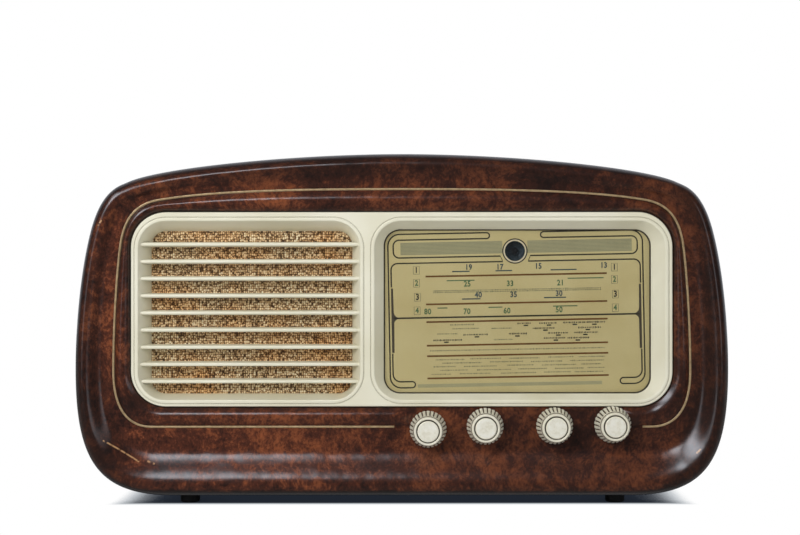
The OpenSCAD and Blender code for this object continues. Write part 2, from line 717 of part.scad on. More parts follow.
module bezel() color("ivory") seated() {
    difference() {
        union() {
            difference() {
                loft([for (s = [[0, frame_t], [0, face_y + 1.2], [0.35, face_y + 0.35], [1.2, face_y]])
                    at_depth(rounded(inset(bezel_x, s[0], s[0]), inset(bezel_span, s[0], s[0]),
                        bezel_r - s[0]), s[1])]);
                plate(rounded(inset(bezel_x, bezel_t, bezel_t), inset(bezel_span, bezel_t, bezel_t),
                    bezel_r - bezel_t), [face_y + bezel_t, frame_t + 1]);
            }
            loft([for (t = [1, 0.1]) at_depth(louvre_window(t, bezel_t), louvre_depth(t))]);
            loft([for (t = [1, 0.1]) at_depth(dial_window(t, bezel_t), dial_depth(t))]);
            for (p = bezel_bosses) rod(p, [face_y + 1, frame_t], boss_r);
            for (x = [bar_boss_x, right_boss_x], z = clip_z)
                rod([x, z], [face_y + 1, glass_back], boss_r);
        }
        loft([for (t = [1.1, -0.1]) at_depth(louvre_window(t, 0), louvre_depth(t))]);
        loft([for (t = [1.1, -0.1]) at_depth(dial_window(t, 0), dial_depth(t))]);
        engraved(louvre_x, window_z);
        engraved(dial_x, window_z);
        slab(pane_x + [-loose, loose], [glass_y, glass_back], pane_z + [-loose, loose]);
        for (p = bezel_bosses) rod(p, [frame_t - 11, frame_t + 1], pilot_r);
        for (x = [bar_boss_x, right_boss_x], z = clip_z)
            rod([x, z], [glass_back - 9, glass_back + 1], pilot_r);
    }
    for (i = [0:louvre_n - 1]) louvre(real_louvre_z + i * real_louvre_pitch);
}

module baffle_board() color("burlywood") seated() difference() {
    plate(grown(outer_loop, -shell_in - loose), [frame_t, baffle_back]);
    rod([real_speaker_x, real_speaker_z], [frame_t - 1, baffle_back + 1], baffle_hole_r);
    plate(rounded(dial_open_x, dial_open_z, 6), [frame_t - 1, baffle_back + 1]);
    for (k = [0:3]) rod([real_knob_x[k], real_knob_z[k]], [frame_t - 1, baffle_back + 1], hole_r);
    for (p = concat(bezel_bosses, frame_screws))
        rod(p, [frame_t - 1, baffle_back + 1], screw_r + 0.4);
    speaker_bolt_places() {
        rod([0, 0], [frame_t - 1, baffle_back + 1], 2.3);
        rod([0, 0], [frame_t - 1, frame_t + 2.6], 4.2);
    }
}

module grille_cloth() color("darkkhaki") seated()
    plate(rounded(cloth_x + [-cloth_lap, cloth_lap], cloth_z + [-cloth_lap, cloth_lap],
        cloth_r + cloth_lap), [cloth_y, frame_t]);

module dial_glass() color("khaki", 0.6) seated() plate(rounded(pane_x, pane_z, 3), [glass_y, glass_back]);

module dial_clips() color("silver") seated() for (z = clip_z) {
    difference() {
        slab([bar_boss_x - boss_r, pane_x[0] + clip_hold], [glass_back, glass_back + clip_t],
            about(z, clip_w / 2));
        rod([bar_boss_x, z], [glass_back - 1, glass_back + clip_t + 1], screw_r + 0.2);
    }
    difference() {
        slab([pane_x[1] - clip_hold, right_boss_x + boss_r], [glass_back, glass_back + clip_t],
            about(z, clip_w / 2));
        rod([right_boss_x, z], [glass_back - 1, glass_back + clip_t + 1], screw_r + 0.2);
    }
}

// The side cheek of the backplate, from the dial back to the apron
function cheek() = [[backplate_y, plate_z[0]], [backplate_y, plate_z[1]], [backplate_y + 10, plate_z[1]],
    [chassis_y0, real_deck_z + 32], [chassis_y0, tab_z[0]], [baffle_back + 2, tab_z[0]],
    [baffle_back + 2, real_rail_z - 2.6], [frame_t + loose, real_rail_z - 2.6], [frame_t + loose, plate_z[0]]];
module dial_backplate() color("beige") seated() difference() {
    union() {
        slab(plate_x, [backplate_y, plate_back], plate_z);
        for (s = [0, 1]) let (x = s == 0 ? plate_x[0] : plate_x[1] - backplate_t) {
            translate([x, 0, 0]) rotate([90, 0, 90]) linear_extrude(backplate_t) polygon(cheek());
            slab(s == 0 ? [x, x + tab_w] : [x + backplate_t - tab_w, x + backplate_t],
                [chassis_y0 - backplate_t, chassis_y0], tab_z);
        }
        for (x = pulley_x) {
            rod([x, pulley_z], [plate_back - 0.5, pointer_cord_y + pulley_w / 2 + 1.8], stud_r);
            rod([x, pulley_z], [plate_back - 0.5, pointer_cord_y - pulley_w / 2 - air], stud_r + 1.5);
            rod([x, pulley_z], [pointer_cord_y + pulley_w / 2 + air,
                pointer_cord_y + pulley_w / 2 + 1.2], stud_r + 1.2);
        }
    }
    rod([real_eye_x, real_eye_z], [backplate_y - 1, plate_back + 1], eye_r + loose);
    for (x = lamp_x) rod([x, lamp_z], [backplate_y - 1, plate_back + 1], lamp_r + 1);
    translate([plate_x[0] - 1, rail_y, real_rail_z]) rotate([0, 90, 0])
        cylinder(r = rail_r + run_fit, h = plate_x[1] - plate_x[0] + 2);
    tab_screw_places() rod([0, 0], [chassis_y0 - backplate_t - 1, chassis_y0 + 1], screw_r + 0.2);
}

module pointer_rail() color("silver") seated() translate([plate_x[0] - 2, rail_y, real_rail_z])
    rotate([0, 90, 0]) cylinder(r = rail_r, h = plate_x[1] - plate_x[0] + 4);

module tab_screw_places() for (x = [plate_x[0] + 7, plate_x[1] - 7], z = inset(tab_z, 8, 8))
    translate([x, 0, z]) children();

// Cords: a six sided tube along a closed route of [x, depth, z] points
function circle_route(c, r, a0, a1, n, y0, y1) = [for (k = [0:n]) let (a = between(a0, a1, k / n))
    [c[0] + r * cos(a), between(y0, y1, k / n), c[1] + r * sin(a)]];
module cord_loop(route) {
    n = len(route);
    loft([for (i = [0:n - 1])
        let (d = route[(i + 1) % n] - route[(i + n - 1) % n], t = unit([d[0], d[2]]))
        [for (k = [0:5]) route[i] + cord_r * [-t[1] * sin(60 * k), cos(60 * k), t[0] * sin(60 * k)]]],
        closed = true);
}
drum_at = [real_drum_x, real_drum_z];
spindle_at = [real_knob_x[2], real_knob_z[2]];
function heading(v) = atan2(v[1], v[0]);
right_dir = [pulley_x[1], pulley_z] - drum_at;
right_angle = heading(right_dir) + acos((real_drum_r - pulley_r) / norm(right_dir));
left_dir = [pulley_x[0], pulley_z] - drum_at;
left_angle = heading(left_dir) + 360 - acos((real_drum_r - pulley_r) / norm(left_dir));
drive_dir = spindle_at - drum_at;
drive_half = acos((real_drum_r + spindle_r) / norm(drive_dir));
module drive_cord() color("olive") seated() {
    y = pointer_cord_y;
    cord_loop(concat(
        circle_route([pulley_x[1], pulley_z], pulley_r, right_angle, -90, 8, y, y),
        circle_route([pulley_x[0], pulley_z], pulley_r, 270, left_angle, 8, y, y),
        circle_route(drum_at, real_drum_r, left_angle, right_angle, 12, y, y)));
    a = heading(drive_dir) + drive_half;
    y0 = drive_cord_y - cross_step / 2;
    y1 = drive_cord_y + cross_step / 2;
    turn = 360 - 2 * drive_half;
    cord_loop(concat(
        circle_route(drum_at, real_drum_r, a, a + turn, 26, y0, y1),
        circle_route(spindle_at, spindle_r, a + turn - 180, a - 180, 12, y1, y0)));
}

module magic_eye() color("darkslategray") seated() turned([real_eye_x, real_eye_z], eye_y)
    polygon([[0, 0], [eye_r - 2.5, 0], [eye_r - 0.7, 0.7], [eye_r, 2.5], [eye_r, eye_len],
        [eye_r + 0.7, eye_len], [eye_r + 0.7, eye_len + 14], [0, eye_len + 14]]);
module eye_bracket() color("silver") seated() {
    difference() {
        rod([real_eye_x, real_eye_z], [44, 52], eye_r + 1.8);
        rod([real_eye_x, real_eye_z], [43, 53], eye_r + air);
    }
    for (s = [-1, 1]) {
        translate([real_eye_x, 0, 0]) scale([s, 1, 1]) {
            slab([eye_r + 0.4, eye_r + 1.8], [plate_back, 52], about(real_eye_z, 5));
            slab([eye_r + 0.4, eye_r + 12], [plate_back, plate_back + 1.2], about(real_eye_z, 5));
        }
    }
}

module lamp_holders() color("gray") seated() for (x = lamp_x) difference() {
    rod([x, lamp_z], [plate_back, plate_back + 16], lamp_r + 1.6);
    rod([x, lamp_z], [plate_back - 1, plate_back + 14], lamp_r - 0.2);
}
module dial_lamps() color("lightyellow") seated() for (x = lamp_x) turned([x, lamp_z], glass_back + 1.4)
    polygon([[0, 0], [2.4, 0.5], [4.2, 2], [lamp_r, 4.6], [lamp_r - 0.4, 6], [lamp_r - 0.4, 19], [0, 19]]);

module chassis() color("silver") seated() difference() {
    slab([real_chassis_x0, real_chassis_x1], [chassis_y0, real_chassis_y1], [chassis_z0, real_deck_z]);
    slab([real_chassis_x0, real_chassis_x1] + [sheet_t, -sheet_t], [chassis_y0, real_chassis_y1] + [sheet_t, -sheet_t],
        [chassis_z0, real_deck_z] + [sheet_t, -sheet_t]);
    slab([real_chassis_x0, real_chassis_x1] + [sheet_t, -sheet_t], [chassis_y0, real_chassis_y1] + [lip_w, -lip_w],
        [chassis_z0 - 1, chassis_z0 + 2 * sheet_t]);
    for (k = [0:3]) rod([real_knob_x[k], real_knob_z[k]], [chassis_y0 - 1, apron_back + 1], bush_r + 0.1);
    tab_screw_places() rod([0, 0], [chassis_y0 - 1, apron_back + 1], pilot_r);
    for (p = socket_places) translate([p[0], p[1], real_deck_z - 2 * sheet_t]) cylinder(r = 9.2, h = 3 * sheet_t);
    for (x = socket_plates_x) slab(about(x, 15), [real_chassis_y1 - 2 * sheet_t, real_chassis_y1 + 1], about(rear_z, 5));
    rod([selector_x, rear_z], [real_chassis_y1 - 2 * sheet_t, real_chassis_y1 + 1], 9.6);
    rod([grommet_x, rear_z], [real_chassis_y1 - 2 * sheet_t, real_chassis_y1 + 1], grommet_neck + 0.1);
    bolt_places() translate([0, 0, chassis_z0 - 1]) cylinder(r = 2.6, h = 2 * sheet_t + 1);
}
module bolt_places() for (x = rail_at, y = [chassis_y0 + bolt_inset, real_chassis_y1 - bolt_inset])
    translate([x, y, 0]) children();
module chassis_rails() color("burlywood") seated() difference() {
    for (x = rail_at) slab(about(x, rail_half), [chassis_y0 + 1, real_chassis_y1 - 1],
        [floor_z, chassis_z0]);
    bolt_places() translate([0, 0, floor_z - 1]) cylinder(r = 2.7, h = chassis_z0 - floor_z + 2);
}
module chassis_bolts() color("silver") seated() bolt_places() {
    translate([0, 0, foot_h - 3]) cylinder(r = 5, h = 3);
    translate([0, 0, foot_h]) cylinder(r = 2.45, h = chassis_z0 + 6 - foot_h);
    translate([0, 0, chassis_z0 + sheet_t]) cylinder(r = 4.6, h = 3.5, $fn = 6);
}
module machine_screws() color("silver") seated() {
    tab_screw_places() machine_screw([0, 0], chassis_y0 - backplate_t, 1, 8);
    for (x = [bar_boss_x, right_boss_x], z = clip_z) machine_screw([x, z], glass_back + clip_t, -1, 8);
}
// A pan head screw; its shank runs to the back (way 1) or to the front (way -1)
module machine_screw(at, y, way, len) translate([at[0], y, at[1]]) rotate([-90 * way, 0, 0]) {
    cylinder(r = screw_r, h = len);
    translate([0, 0, -2]) cylinder(r = 2.8, h = 2);
}

module transformer(at, core, coil) translate([at[0], at[1], real_deck_z]) {
    translate([-core[0] / 2, -core[1] / 2, 0]) cube(core);
    translate([-coil[0] / 2, -coil[1] / 2, (core[2] - coil[2]) / 2]) cube(coil);
    translate([-core[0] / 2 - 8, -core[1] / 2, 0]) cube([core[0] + 16, core[1], 2]);
    for (x = [-1, 1], z = [0.1, 0.9]) translate([x * core[0] * 0.42, -core[1] / 2 - 3, core[2] * z])
        rotate([-90, 0, 0]) cylinder(r = 2.4, h = core[1] + 6);
}
module power_transformer() color("dimgray") seated() transformer(real_power_at, [66, 34, 56], [46, 60, 38]);
module output_transformer() color("dimgray") seated() transformer(real_audio_at, [40, 18, 34], [26, 34, 22]);

module if_cans() color("gainsboro") seated() for (p = real_can_at) translate([p[0], p[1], real_deck_z]) difference() {
    union() {
        linear_extrude(can_h) polygon(rounded([-can_w, can_w] / 2, [-can_w, can_w] / 2, 3));
        translate([-can_w / 2 - 5, -5, 0]) cube([can_w + 10, 10, 1.2]);
    }
    for (x = [-6, 6]) translate([x, 0, can_h - 6]) cylinder(r = 3, h = 7);
}
module electrolytic_can() color("gainsboro") seated() translate([real_reservoir_at[0], real_reservoir_at[1], real_deck_z])
    rotate_extrude() polygon([[0, 0], [17, 0], [17, 3], [14, 3], [14, 8], [13.2, 9], [14, 10], [14, 58],
        [13, 60], [12, 59], [0, 59]]);

socket_places = concat(real_signal_at, [real_output_at, real_rectifier_at]);
module valve_sockets() color("saddlebrown") seated() {
    for (p = socket_places) translate([p[0], p[1], 0]) rotate_extrude()
        polygon([[0, real_deck_z - 9], [8.6, real_deck_z - 9], [8.6, real_deck_z], [12.6, real_deck_z], [12.6, socket_top],
            [0, socket_top]]);
    turned([real_eye_x, real_eye_z], eye_y + eye_len + 14) polygon([[0, 0], [15, 0], [15, 8], [12, 11], [0, 11]]);
}
module valve(at, h) translate([at[0], at[1], socket_top]) rotate_extrude() polygon(concat(
    [[0, 0], [valve_r + 0.5, 0], [valve_r + 0.5, 7], [valve_r, 7.5]],
    [for (a = [0:15:75]) [valve_r * cos(a), h - valve_r - 5 + valve_r * sin(a)]],
    [[1.6, h - 5], [1.1, h], [0, h]]));
module signal_valves() color("lightcyan") seated() for (p = real_signal_at) valve(p, valve_h);
module output_valve() color("lightcyan") seated() valve(real_output_at, power_valve_h);
module rectifier_valve() color("lightcyan") seated() valve(real_rectifier_at, power_valve_h);

gang_z0 = real_drum_z - gang_h / 2;
gang_x = about(real_drum_x, gang_w / 2);
gang_y1 = gang_y + gang_len;
gang_mid = (gang_y + gang_y1) / 2;
stack_y = [gang_y + gang_t + 4, gang_y1 - gang_t - 4 - rotor_n * plate_pitch];
stator_r = rotor_r + 2.6;
stator_bar = 1.4;
module gang_bracket() color("silver") seated() {
    slab(gang_x + [-2, 2], [gang_y, gang_y1], [gang_z0 - 1.5, gang_z0]);
    for (s = [0, 1]) let (x = s == 0 ? gang_x[0] - 2 : gang_x[1] + 0.5) {
        slab([x, x + 1.5], [gang_y, gang_y1], [real_deck_z, gang_z0]);
        slab(s == 0 ? [x - 10, x + 1.5] : [x, x + 11.5], [gang_y, gang_y1], [real_deck_z, real_deck_z + 1.5]);
    }
}
module gang_frame() color("lightgray") seated() {
    difference() {
        union() {
            for (y = [gang_y, gang_y1 - gang_t]) slab(gang_x, [y, y + gang_t], about(real_drum_z, gang_h / 2));
            slab(gang_x, [gang_y, gang_y1], [gang_z0, gang_z0 + gang_t]);
            slab(gang_x, about(gang_mid, 0.6), [gang_z0, real_drum_z + 10]);
            rod(drum_at, [gang_y - 4, gang_y + 1], 6);
        }
        rod(drum_at, [gang_y - 5, gang_y + gang_t + 1], shaft_r + run_fit);
        rod(drum_at, [gang_y1 - gang_t - 1, gang_y1 + 1], shaft_r + run_fit);
        rod(drum_at, about(gang_mid, 2), 6.4);
    }
    translate([real_drum_x, 0, real_drum_z]) rotate([-90, 0, 0]) rotate_extrude(angle = 180)
        for (y = stack_y, k = [0:rotor_n]) band([6.2, stator_r], about(y + k * plate_pitch, plate_t / 2));
    for (a = [-25, -155]) rod(drum_at + (stator_r - 0.6) * [cos(a), sin(a)],
        [gang_y + gang_t / 2, gang_y1 - gang_t / 2], stator_bar);
}
module gang_rotor() color("lightgray") seated() {
    rod(drum_at, [drum_y + 2, gang_y1 + 2], shaft_r);
    for (y = stack_y) rod(drum_at, [y + 0.5, y + rotor_n * plate_pitch - 0.5], 5);
    translate([real_drum_x, 0, real_drum_z]) rotate([0, -180 * pointer_share, 0]) rotate([-90, 0, 0])
        rotate_extrude(angle = 180) for (y = stack_y, k = [0:rotor_n - 1])
        band([1, rotor_r], about(y + (k + 0.5) * plate_pitch, plate_t / 2));
}

rim_r = real_drum_r + 1.6;
rim_in = real_drum_r - 4;
cord_bed = real_drum_r - cord_r - air;
function groove(y, half) = [[rim_r, y - half], [cord_bed, y - half], [cord_bed, y + half], [rim_r, y + half]];
module drive_drum() color("goldenrod") seated() difference() {
    turned(drum_at, 0) polygon(concat(
        [[rim_in, drum_y], [rim_r, drum_y]],
        groove(pointer_cord_y, cord_r + air),
        groove(drive_cord_y, cross_step / 2 + cord_r + air),
        [[rim_r, drum_y + drum_w], [rim_in, drum_y + drum_w], [rim_in, drum_y + 7], [8, drum_y + 7],
         [8, drum_y + 14], [shaft_r + run_fit, drum_y + 14], [shaft_r + run_fit, drum_y + 3],
         [8, drum_y + 3], [8, drum_y + 5.4], [rim_in, drum_y + 5.4]]));
    for (a = [0:72:288]) rod(drum_at + 28 * [cos(a + 20), sin(a + 20)], [drum_y, drum_y + drum_w], 10);
}

module pointer() color("firebrick") seated() {
    difference() {
        slab(about(pointer_x, carriage_w / 2), [plate_back + 1, pointer_cord_y + 1.5],
            [real_rail_z - 2.8, run_z + 1.8]);
        translate([pointer_x - carriage_w, rail_y, real_rail_z]) rotate([0, 90, 0])
            cylinder(r = rail_r + run_fit, h = 2 * carriage_w);
        translate([pointer_x - carriage_w, pointer_cord_y, run_z]) rotate([0, 90, 0])
            cylinder(r = cord_r + air, h = 2 * carriage_w);
    }
    slab(about(pointer_x, 1.5), [needle_y, plate_back + 1.5], [real_rail_z - 2.4, real_rail_z - 0.8]);
    slab(about(pointer_x, needle_w / 2), [needle_y, needle_y + needle_t], [real_rail_z - 2.4, real_needle_top]);
}

module pulley(x) turned([x, pulley_z], pointer_cord_y) polygon([[stud_r + run_fit, -pulley_w / 2],
    [pulley_flange, -pulley_w / 2], [pulley_flange, -pulley_w / 2 + 0.6],
    [pulley_r - cord_r - air, -cord_r - air], [pulley_r - cord_r - air, cord_r + air],
    [pulley_flange, pulley_w / 2 - 0.6], [pulley_flange, pulley_w / 2], [stud_r + run_fit, pulley_w / 2]]);
module pulley_left() color("goldenrod") seated() pulley(pulley_x[0]);
module pulley_right() color("goldenrod") seated() pulley(pulley_x[1]);

module pot(k) difference() {
    union() {
        rod([real_knob_x[k], real_knob_z[k]], [chassis_y0 - bush_front, apron_back], bush_r);
        rod([real_knob_x[k], real_knob_z[k]], [apron_back, apron_back + pot_deep], pot_r);
    }
    rod([real_knob_x[k], real_knob_z[k]], [chassis_y0 - bush_front - 1, apron_back + 2], shaft_r + run_fit);
    rod([real_knob_x[k], real_knob_z[k]], [apron_back + pot_wall, apron_back + pot_deep - pot_wall], pot_r - pot_wall);
}
module tone_pot() color("darkgray") seated() pot(0);
module volume_pot() color("darkgray") seated() {
    pot(1);
    rod([real_knob_x[1], real_knob_z[1]], [apron_back + pot_deep, apron_back + pot_deep + 8], pot_r - 3);
}
module tuning_bush() color("goldenrod") seated() difference() {
    union() {
        rod(spindle_at, [chassis_y0 - 6, apron_back + 12], bush_r);
        rod(spindle_at, [apron_back, apron_back + 2], 8);
    }
    rod(spindle_at, [chassis_y0 - 7, apron_back + 13], shaft_r + run_fit);
}
band_at = [real_knob_x[3], real_knob_z[3]];
module band_switch() color("saddlebrown") seated() {
    difference() {
        union() {
            rod(band_at, [chassis_y0 - bush_front, apron_back], bush_r);
            slab(about(band_at[0], 17), [apron_back, apron_back + 2], about(band_at[1], 12));
        }
        rod(band_at, [chassis_y0 - bush_front - 1, apron_back + 3], shaft_r + run_fit);
    }
    for (y = wafer_y) difference() {
        rod(band_at, [y, y + 1.6], 16);
        rod(band_at, [y - 1, y + 3], 8.4);
    }
    for (s = [-13, 13]) rod(band_at + [s, 0], [apron_back, wafer_y[1] + 4], 1.7);
}
module control_nuts() color("goldenrod") seated() for (k = [0:3]) difference() {
    translate([real_knob_x[k], chassis_y0 - nut_t, real_knob_z[k]]) rotate([-90, 0, 0])
        cylinder(r = nut_r, h = nut_t, $fn = 6);
    rod([real_knob_x[k], real_knob_z[k]], [chassis_y0 - nut_t - 1, chassis_y0 + 1], bush_r + run_fit);
}

// A knob: fluted skirt, smooth shoulder, raised ring and a button, turned round its shaft
module knob(k) translate([real_knob_x[k], -knob_gap, real_knob_z[k]]) rotate([90, 0, 0]) difference() {
    rotate_extrude() polygon(concat(
        [[shaft_r + run_fit, 0], [knob_r, 0], [knob_r, 1.5], [knob_r - 2.2, 11], [knob_ring_r + 0.6, 18],
         [knob_ring_r + 0.3, 19.4], [knob_ring_r, 19]],
        [for (a = [0:30:180]) [(knob_ring_r + knob_button_r + 0.6) / 2
            + (knob_ring_r - knob_button_r - 0.6) / 2 * cos(a), knob_h - 3.2 + 2.4 * sin(a)]],
        [[knob_button_r + 0.6, knob_h - 5], [knob_button_r, knob_h - 5], [knob_button_r, knob_h - 0.8],
         [knob_button_r - 0.8, knob_h], [0, knob_h - 0.3], [0, knob_bore], [shaft_r + run_fit, knob_bore]]));
    for (i = [0:flute_n - 1]) rotate([0, 0, i * 360 / flute_n])
        translate([knob_r - 2, -flute_w / 2, -1]) cube([4, flute_w, flute_len + 1]);
}
module tone_knob() color("ivory") seated() knob(0);
module volume_knob() color("ivory") seated() knob(1);
module tuning_knob() color("ivory") seated() knob(2);
module band_knob() color("ivory") seated() knob(3);

module pot_shaft(k) {
    rod([real_knob_x[k], real_knob_z[k]], [shaft_front, shaft_end], shaft_r);
    rod([real_knob_x[k], real_knob_z[k]], [shaft_end - 6, shaft_end - 4.5], 11);
}
module tone_shaft() color("silver") seated() pot_shaft(0);
module volume_shaft() color("silver") seated() pot_shaft(1);
module tuning_shaft() color("silver") seated() {
    reach = cross_step / 2 + cord_r + air;
    rod(spindle_at, [shaft_front, apron_back + 16], shaft_r);
    rod(spindle_at, about(drive_cord_y, reach + 1.5), spindle_r - cord_r - air);
    for (s = [-reach - 1.5, reach]) rod(spindle_at, [drive_cord_y + s, drive_cord_y + s + 1.5], spindle_r + 1.4);
    rod(spindle_at, [apron_back + 12.3, apron_back + 13.5], 5);
}
module band_shaft() color("silver") seated() {
    rod(band_at, [shaft_front, wafer_y[1] + 4], shaft_r);
    for (y = wafer_y) rod(band_at, [y, y + 1.6], 8);
}

module speaker_bolt_places() for (a = [45:90:315]) translate([real_speaker_x + speaker_bolt_at * cos(a), 0,
    real_speaker_z + speaker_bolt_at * sin(a)]) children();
module speaker_basket() color("dimgray") seated() difference() {
    turned([real_speaker_x, real_speaker_z], 0) polygon([[flange_in, speaker_y], [basket_r, speaker_y],
        [basket_r, speaker_y + basket_t], [flange_in + basket_t, speaker_y + basket_t],
        [flange_in + basket_t, speaker_y + basket_wall + basket_t / 2],
        [magnet_r, basket_y + basket_t], [coil_r + 1.6, basket_y + basket_t], [coil_r + 1.6, basket_y],
        [magnet_r - 2, basket_y], [flange_in, speaker_y + basket_wall]]);
    speaker_bolt_places() rod([0, 0], [speaker_y - 1, speaker_y + 5], 2.2);
    for (a = [0:60:300]) translate([real_speaker_x, 0, real_speaker_z]) rotate([0, a, 0]) rotate([-90, 0, 0])
        rotate_extrude(angle = 40) band([magnet_r + 5, flange_in - 3], [speaker_y + 3, basket_y + 3]);
}
magnet_y = basket_y + basket_t;
module speaker_magnet() color("slategray") seated() {
    turned([real_speaker_x, real_speaker_z], magnet_y) {
        band([coil_r + 1, magnet_r - 3], [0, gap_plate_t]);
        band([coil_r + 6, magnet_r], [gap_plate_t, gap_plate_t + magnet_deep]);
        band([0, magnet_r - 3], [gap_plate_t + magnet_deep, 2 * gap_plate_t + magnet_deep]);
        band([0, coil_r - 0.8], [1, gap_plate_t + magnet_deep + 1]);
    }
}
module speaker_cone() color("black") seated() turned([real_speaker_x, real_speaker_z], cone_y) {
    polygon([[cone_r, 0], [cone_r, 0.8], [cone_r - 5, 0.8], [coil_r + 0.4, cone_deep + 0.8],
        [coil_r + 0.4, cone_deep + 10.5], [coil_r, cone_deep + 10.5], [coil_r, cone_deep + 0.2],
        [coil_r - 4, cone_deep - 2.6], [0, cone_deep - 4], [0, cone_deep - 4.8],
        [coil_r - 4, cone_deep - 3.4], [coil_r + 0.4, cone_deep - 0.4], [cone_r - 5.4, 0]]);
}
module speaker_bolts() color("silver") seated() speaker_bolt_places() {
    rod([0, 0], [frame_t + 0.2, frame_t + 2.4], 3.8);
    rod([0, 0], [frame_t + 0.2, speaker_y + basket_t + 6], 2);
    translate([0, speaker_y + basket_t, 0]) rotate([-90, 0, 0]) cylinder(r = speaker_nut_r, h = 3.2, $fn = 6);
}

module socket_plates() color("sienna") seated() for (x = socket_plates_x) difference() {
    slab(about(x, 20), [real_chassis_y1, real_chassis_y1 + 2], about(rear_z, 9));
    for (s = [-1, 1]) rod([x + s * socket_gap, rear_z], [real_chassis_y1 - 1, real_chassis_y1 + 3], socket_r + 1.1);
}
module socket_bushes() color("gold") seated() for (x = socket_plates_x, s = [-1, 1])
    turned([x + s * socket_gap, rear_z], real_chassis_y1) polygon([[socket_r, -8], [socket_r + 1, -8],
        [socket_r + 1, 2], [socket_r + 2.2, 2], [socket_r + 2.2, 3.2], [socket_r + 1, 4], [socket_r, 4]]);
module cord_grommet() color("black") seated() turned([grommet_x, rear_z], real_chassis_y1)
    polygon([[grommet_r, -sheet_t - 1.6], [grommet_neck + 2, -sheet_t - 1.6], [grommet_neck + 2, -sheet_t],
        [grommet_neck, -sheet_t], [grommet_neck, 0], [grommet_neck + 2, 0], [grommet_neck + 1.4, 1.8],
        [grommet_r, 1.8]]);
module voltage_selector() color("saddlebrown") seated() difference() {
    union() {
        rod([selector_x, rear_z], [real_chassis_y1, real_chassis_y1 + 4], selector_r);
        rod([selector_x, rear_z], [real_chassis_y1 - 8, real_chassis_y1], 9.4);
    }
    rod([selector_x, rear_z], [real_chassis_y1 + 1, real_chassis_y1 + 5], selector_r - 4);
}
module voltage_dial() color("black") seated() difference() {
    rod([selector_x, rear_z], [real_chassis_y1 + 1 + air, real_chassis_y1 + 5.5], selector_r - 4 - run_fit);
    slab(about(selector_x, 1), [real_chassis_y1 + 3.5, real_chassis_y1 + 6], about(rear_z, 8));
}

front_frame();
inlay_line();
cabinet_shell();
back_panel();
wood_screws();
feet();
foot_screws();
bezel();
baffle_board();
grille_cloth();
dial_glass();
dial_clips();
dial_backplate();
pointer_rail();
drive_cord();
magic_eye();
eye_bracket();
lamp_holders();
dial_lamps();
chassis();
chassis_rails();
chassis_bolts();
machine_screws();
power_transformer();
output_transformer();
if_cans();
electrolytic_can();
valve_sockets();
signal_valves();
output_valve();
rectifier_valve();
gang_bracket();
gang_frame();
tone_pot();
volume_pot();
tuning_bush();
band_switch();
control_nuts();
speaker_basket();
speaker_magnet();
speaker_bolts();
socket_plates();
socket_bushes();
cord_grommet();
voltage_selector();
voltage_dial();
tone_knob();
tone_shaft();
volume_knob();
volume_shaft();
tuning_knob();
tuning_shaft();
band_knob();
band_shaft();
drive_drum();
gang_rotor();
pointer();
pulley_left();
pulley_right();
speaker_cone();
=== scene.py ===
import math

import bmesh
import bpy
import numpy as np
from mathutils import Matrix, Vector
from mathutils.geometry import tessellate_polygon


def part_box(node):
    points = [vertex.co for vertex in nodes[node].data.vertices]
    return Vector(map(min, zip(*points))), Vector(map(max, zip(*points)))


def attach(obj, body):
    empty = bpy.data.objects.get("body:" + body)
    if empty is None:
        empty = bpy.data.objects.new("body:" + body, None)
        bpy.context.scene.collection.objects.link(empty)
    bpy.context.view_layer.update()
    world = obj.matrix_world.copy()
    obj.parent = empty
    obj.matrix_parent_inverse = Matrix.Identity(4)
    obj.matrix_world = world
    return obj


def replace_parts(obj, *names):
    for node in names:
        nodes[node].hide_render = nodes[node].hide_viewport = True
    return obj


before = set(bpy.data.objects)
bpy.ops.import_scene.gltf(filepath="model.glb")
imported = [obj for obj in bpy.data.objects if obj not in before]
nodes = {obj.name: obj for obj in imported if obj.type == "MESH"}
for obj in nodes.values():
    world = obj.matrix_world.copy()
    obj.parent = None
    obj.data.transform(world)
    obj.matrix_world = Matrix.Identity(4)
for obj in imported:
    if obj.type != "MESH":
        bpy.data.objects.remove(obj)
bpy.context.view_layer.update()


# Camera.
# A long lens looks straight at the front from a little above the middle. The picture is cut
# from the left of a wider frame, so the lens axis is right of the middle, and it leans a little.
camera = bpy.data.objects.new("camera", bpy.data.cameras.new("camera"))
bpy.context.scene.collection.objects.link(camera)
bpy.context.scene.camera = camera
camera.location = (0.0235, -1.50025, 0.218)
camera.rotation_euler = (math.radians(90), math.radians(0.03), 0)
camera.data.sensor_width = 36
camera.data.lens = 68.985
camera.data.shift_x = -0.03435
camera.data.shift_y = 0.0019
camera.data.clip_start = 0.05
bpy.context.scene.view_settings.view_transform = "Standard"


# Table and studio light.
# A white table in a dark room with a white wall behind it, one large soft lamp at the upper left and
# a weak one at the right. The lacquer mirrors soft panels in their place, and the table's front end.
def feed(tree, socket, value):
    """Links an input to the socket that feeds it, or sets its value; a colour gets its alpha."""
    if isinstance(value, bpy.types.NodeSocket):
        tree.links.new(value, socket)
    elif socket.type == "RGBA" and len(value) == 3:
        socket.default_value = (*value, 1)
    else:
        socket.default_value = value


def add(tree, kind, inputs=None, **settings):
    """One shader node: its settings, then its inputs as values or as the sockets that feed them."""
    made = tree.nodes.new("ShaderNode" + kind)
    for key, value in settings.items():
        setattr(made, key, value)
    for key, value in (inputs or {}).items():
        feed(tree, made.inputs[key], value)
    return made


def math_of(tree, operation, a, b=0.0, c=0.0, clamp=False):
    """One sum on values or sockets."""
    return add(tree, "Math", {0: a, 1: b, 2: c}, operation=operation, use_clamp=clamp).outputs[0]


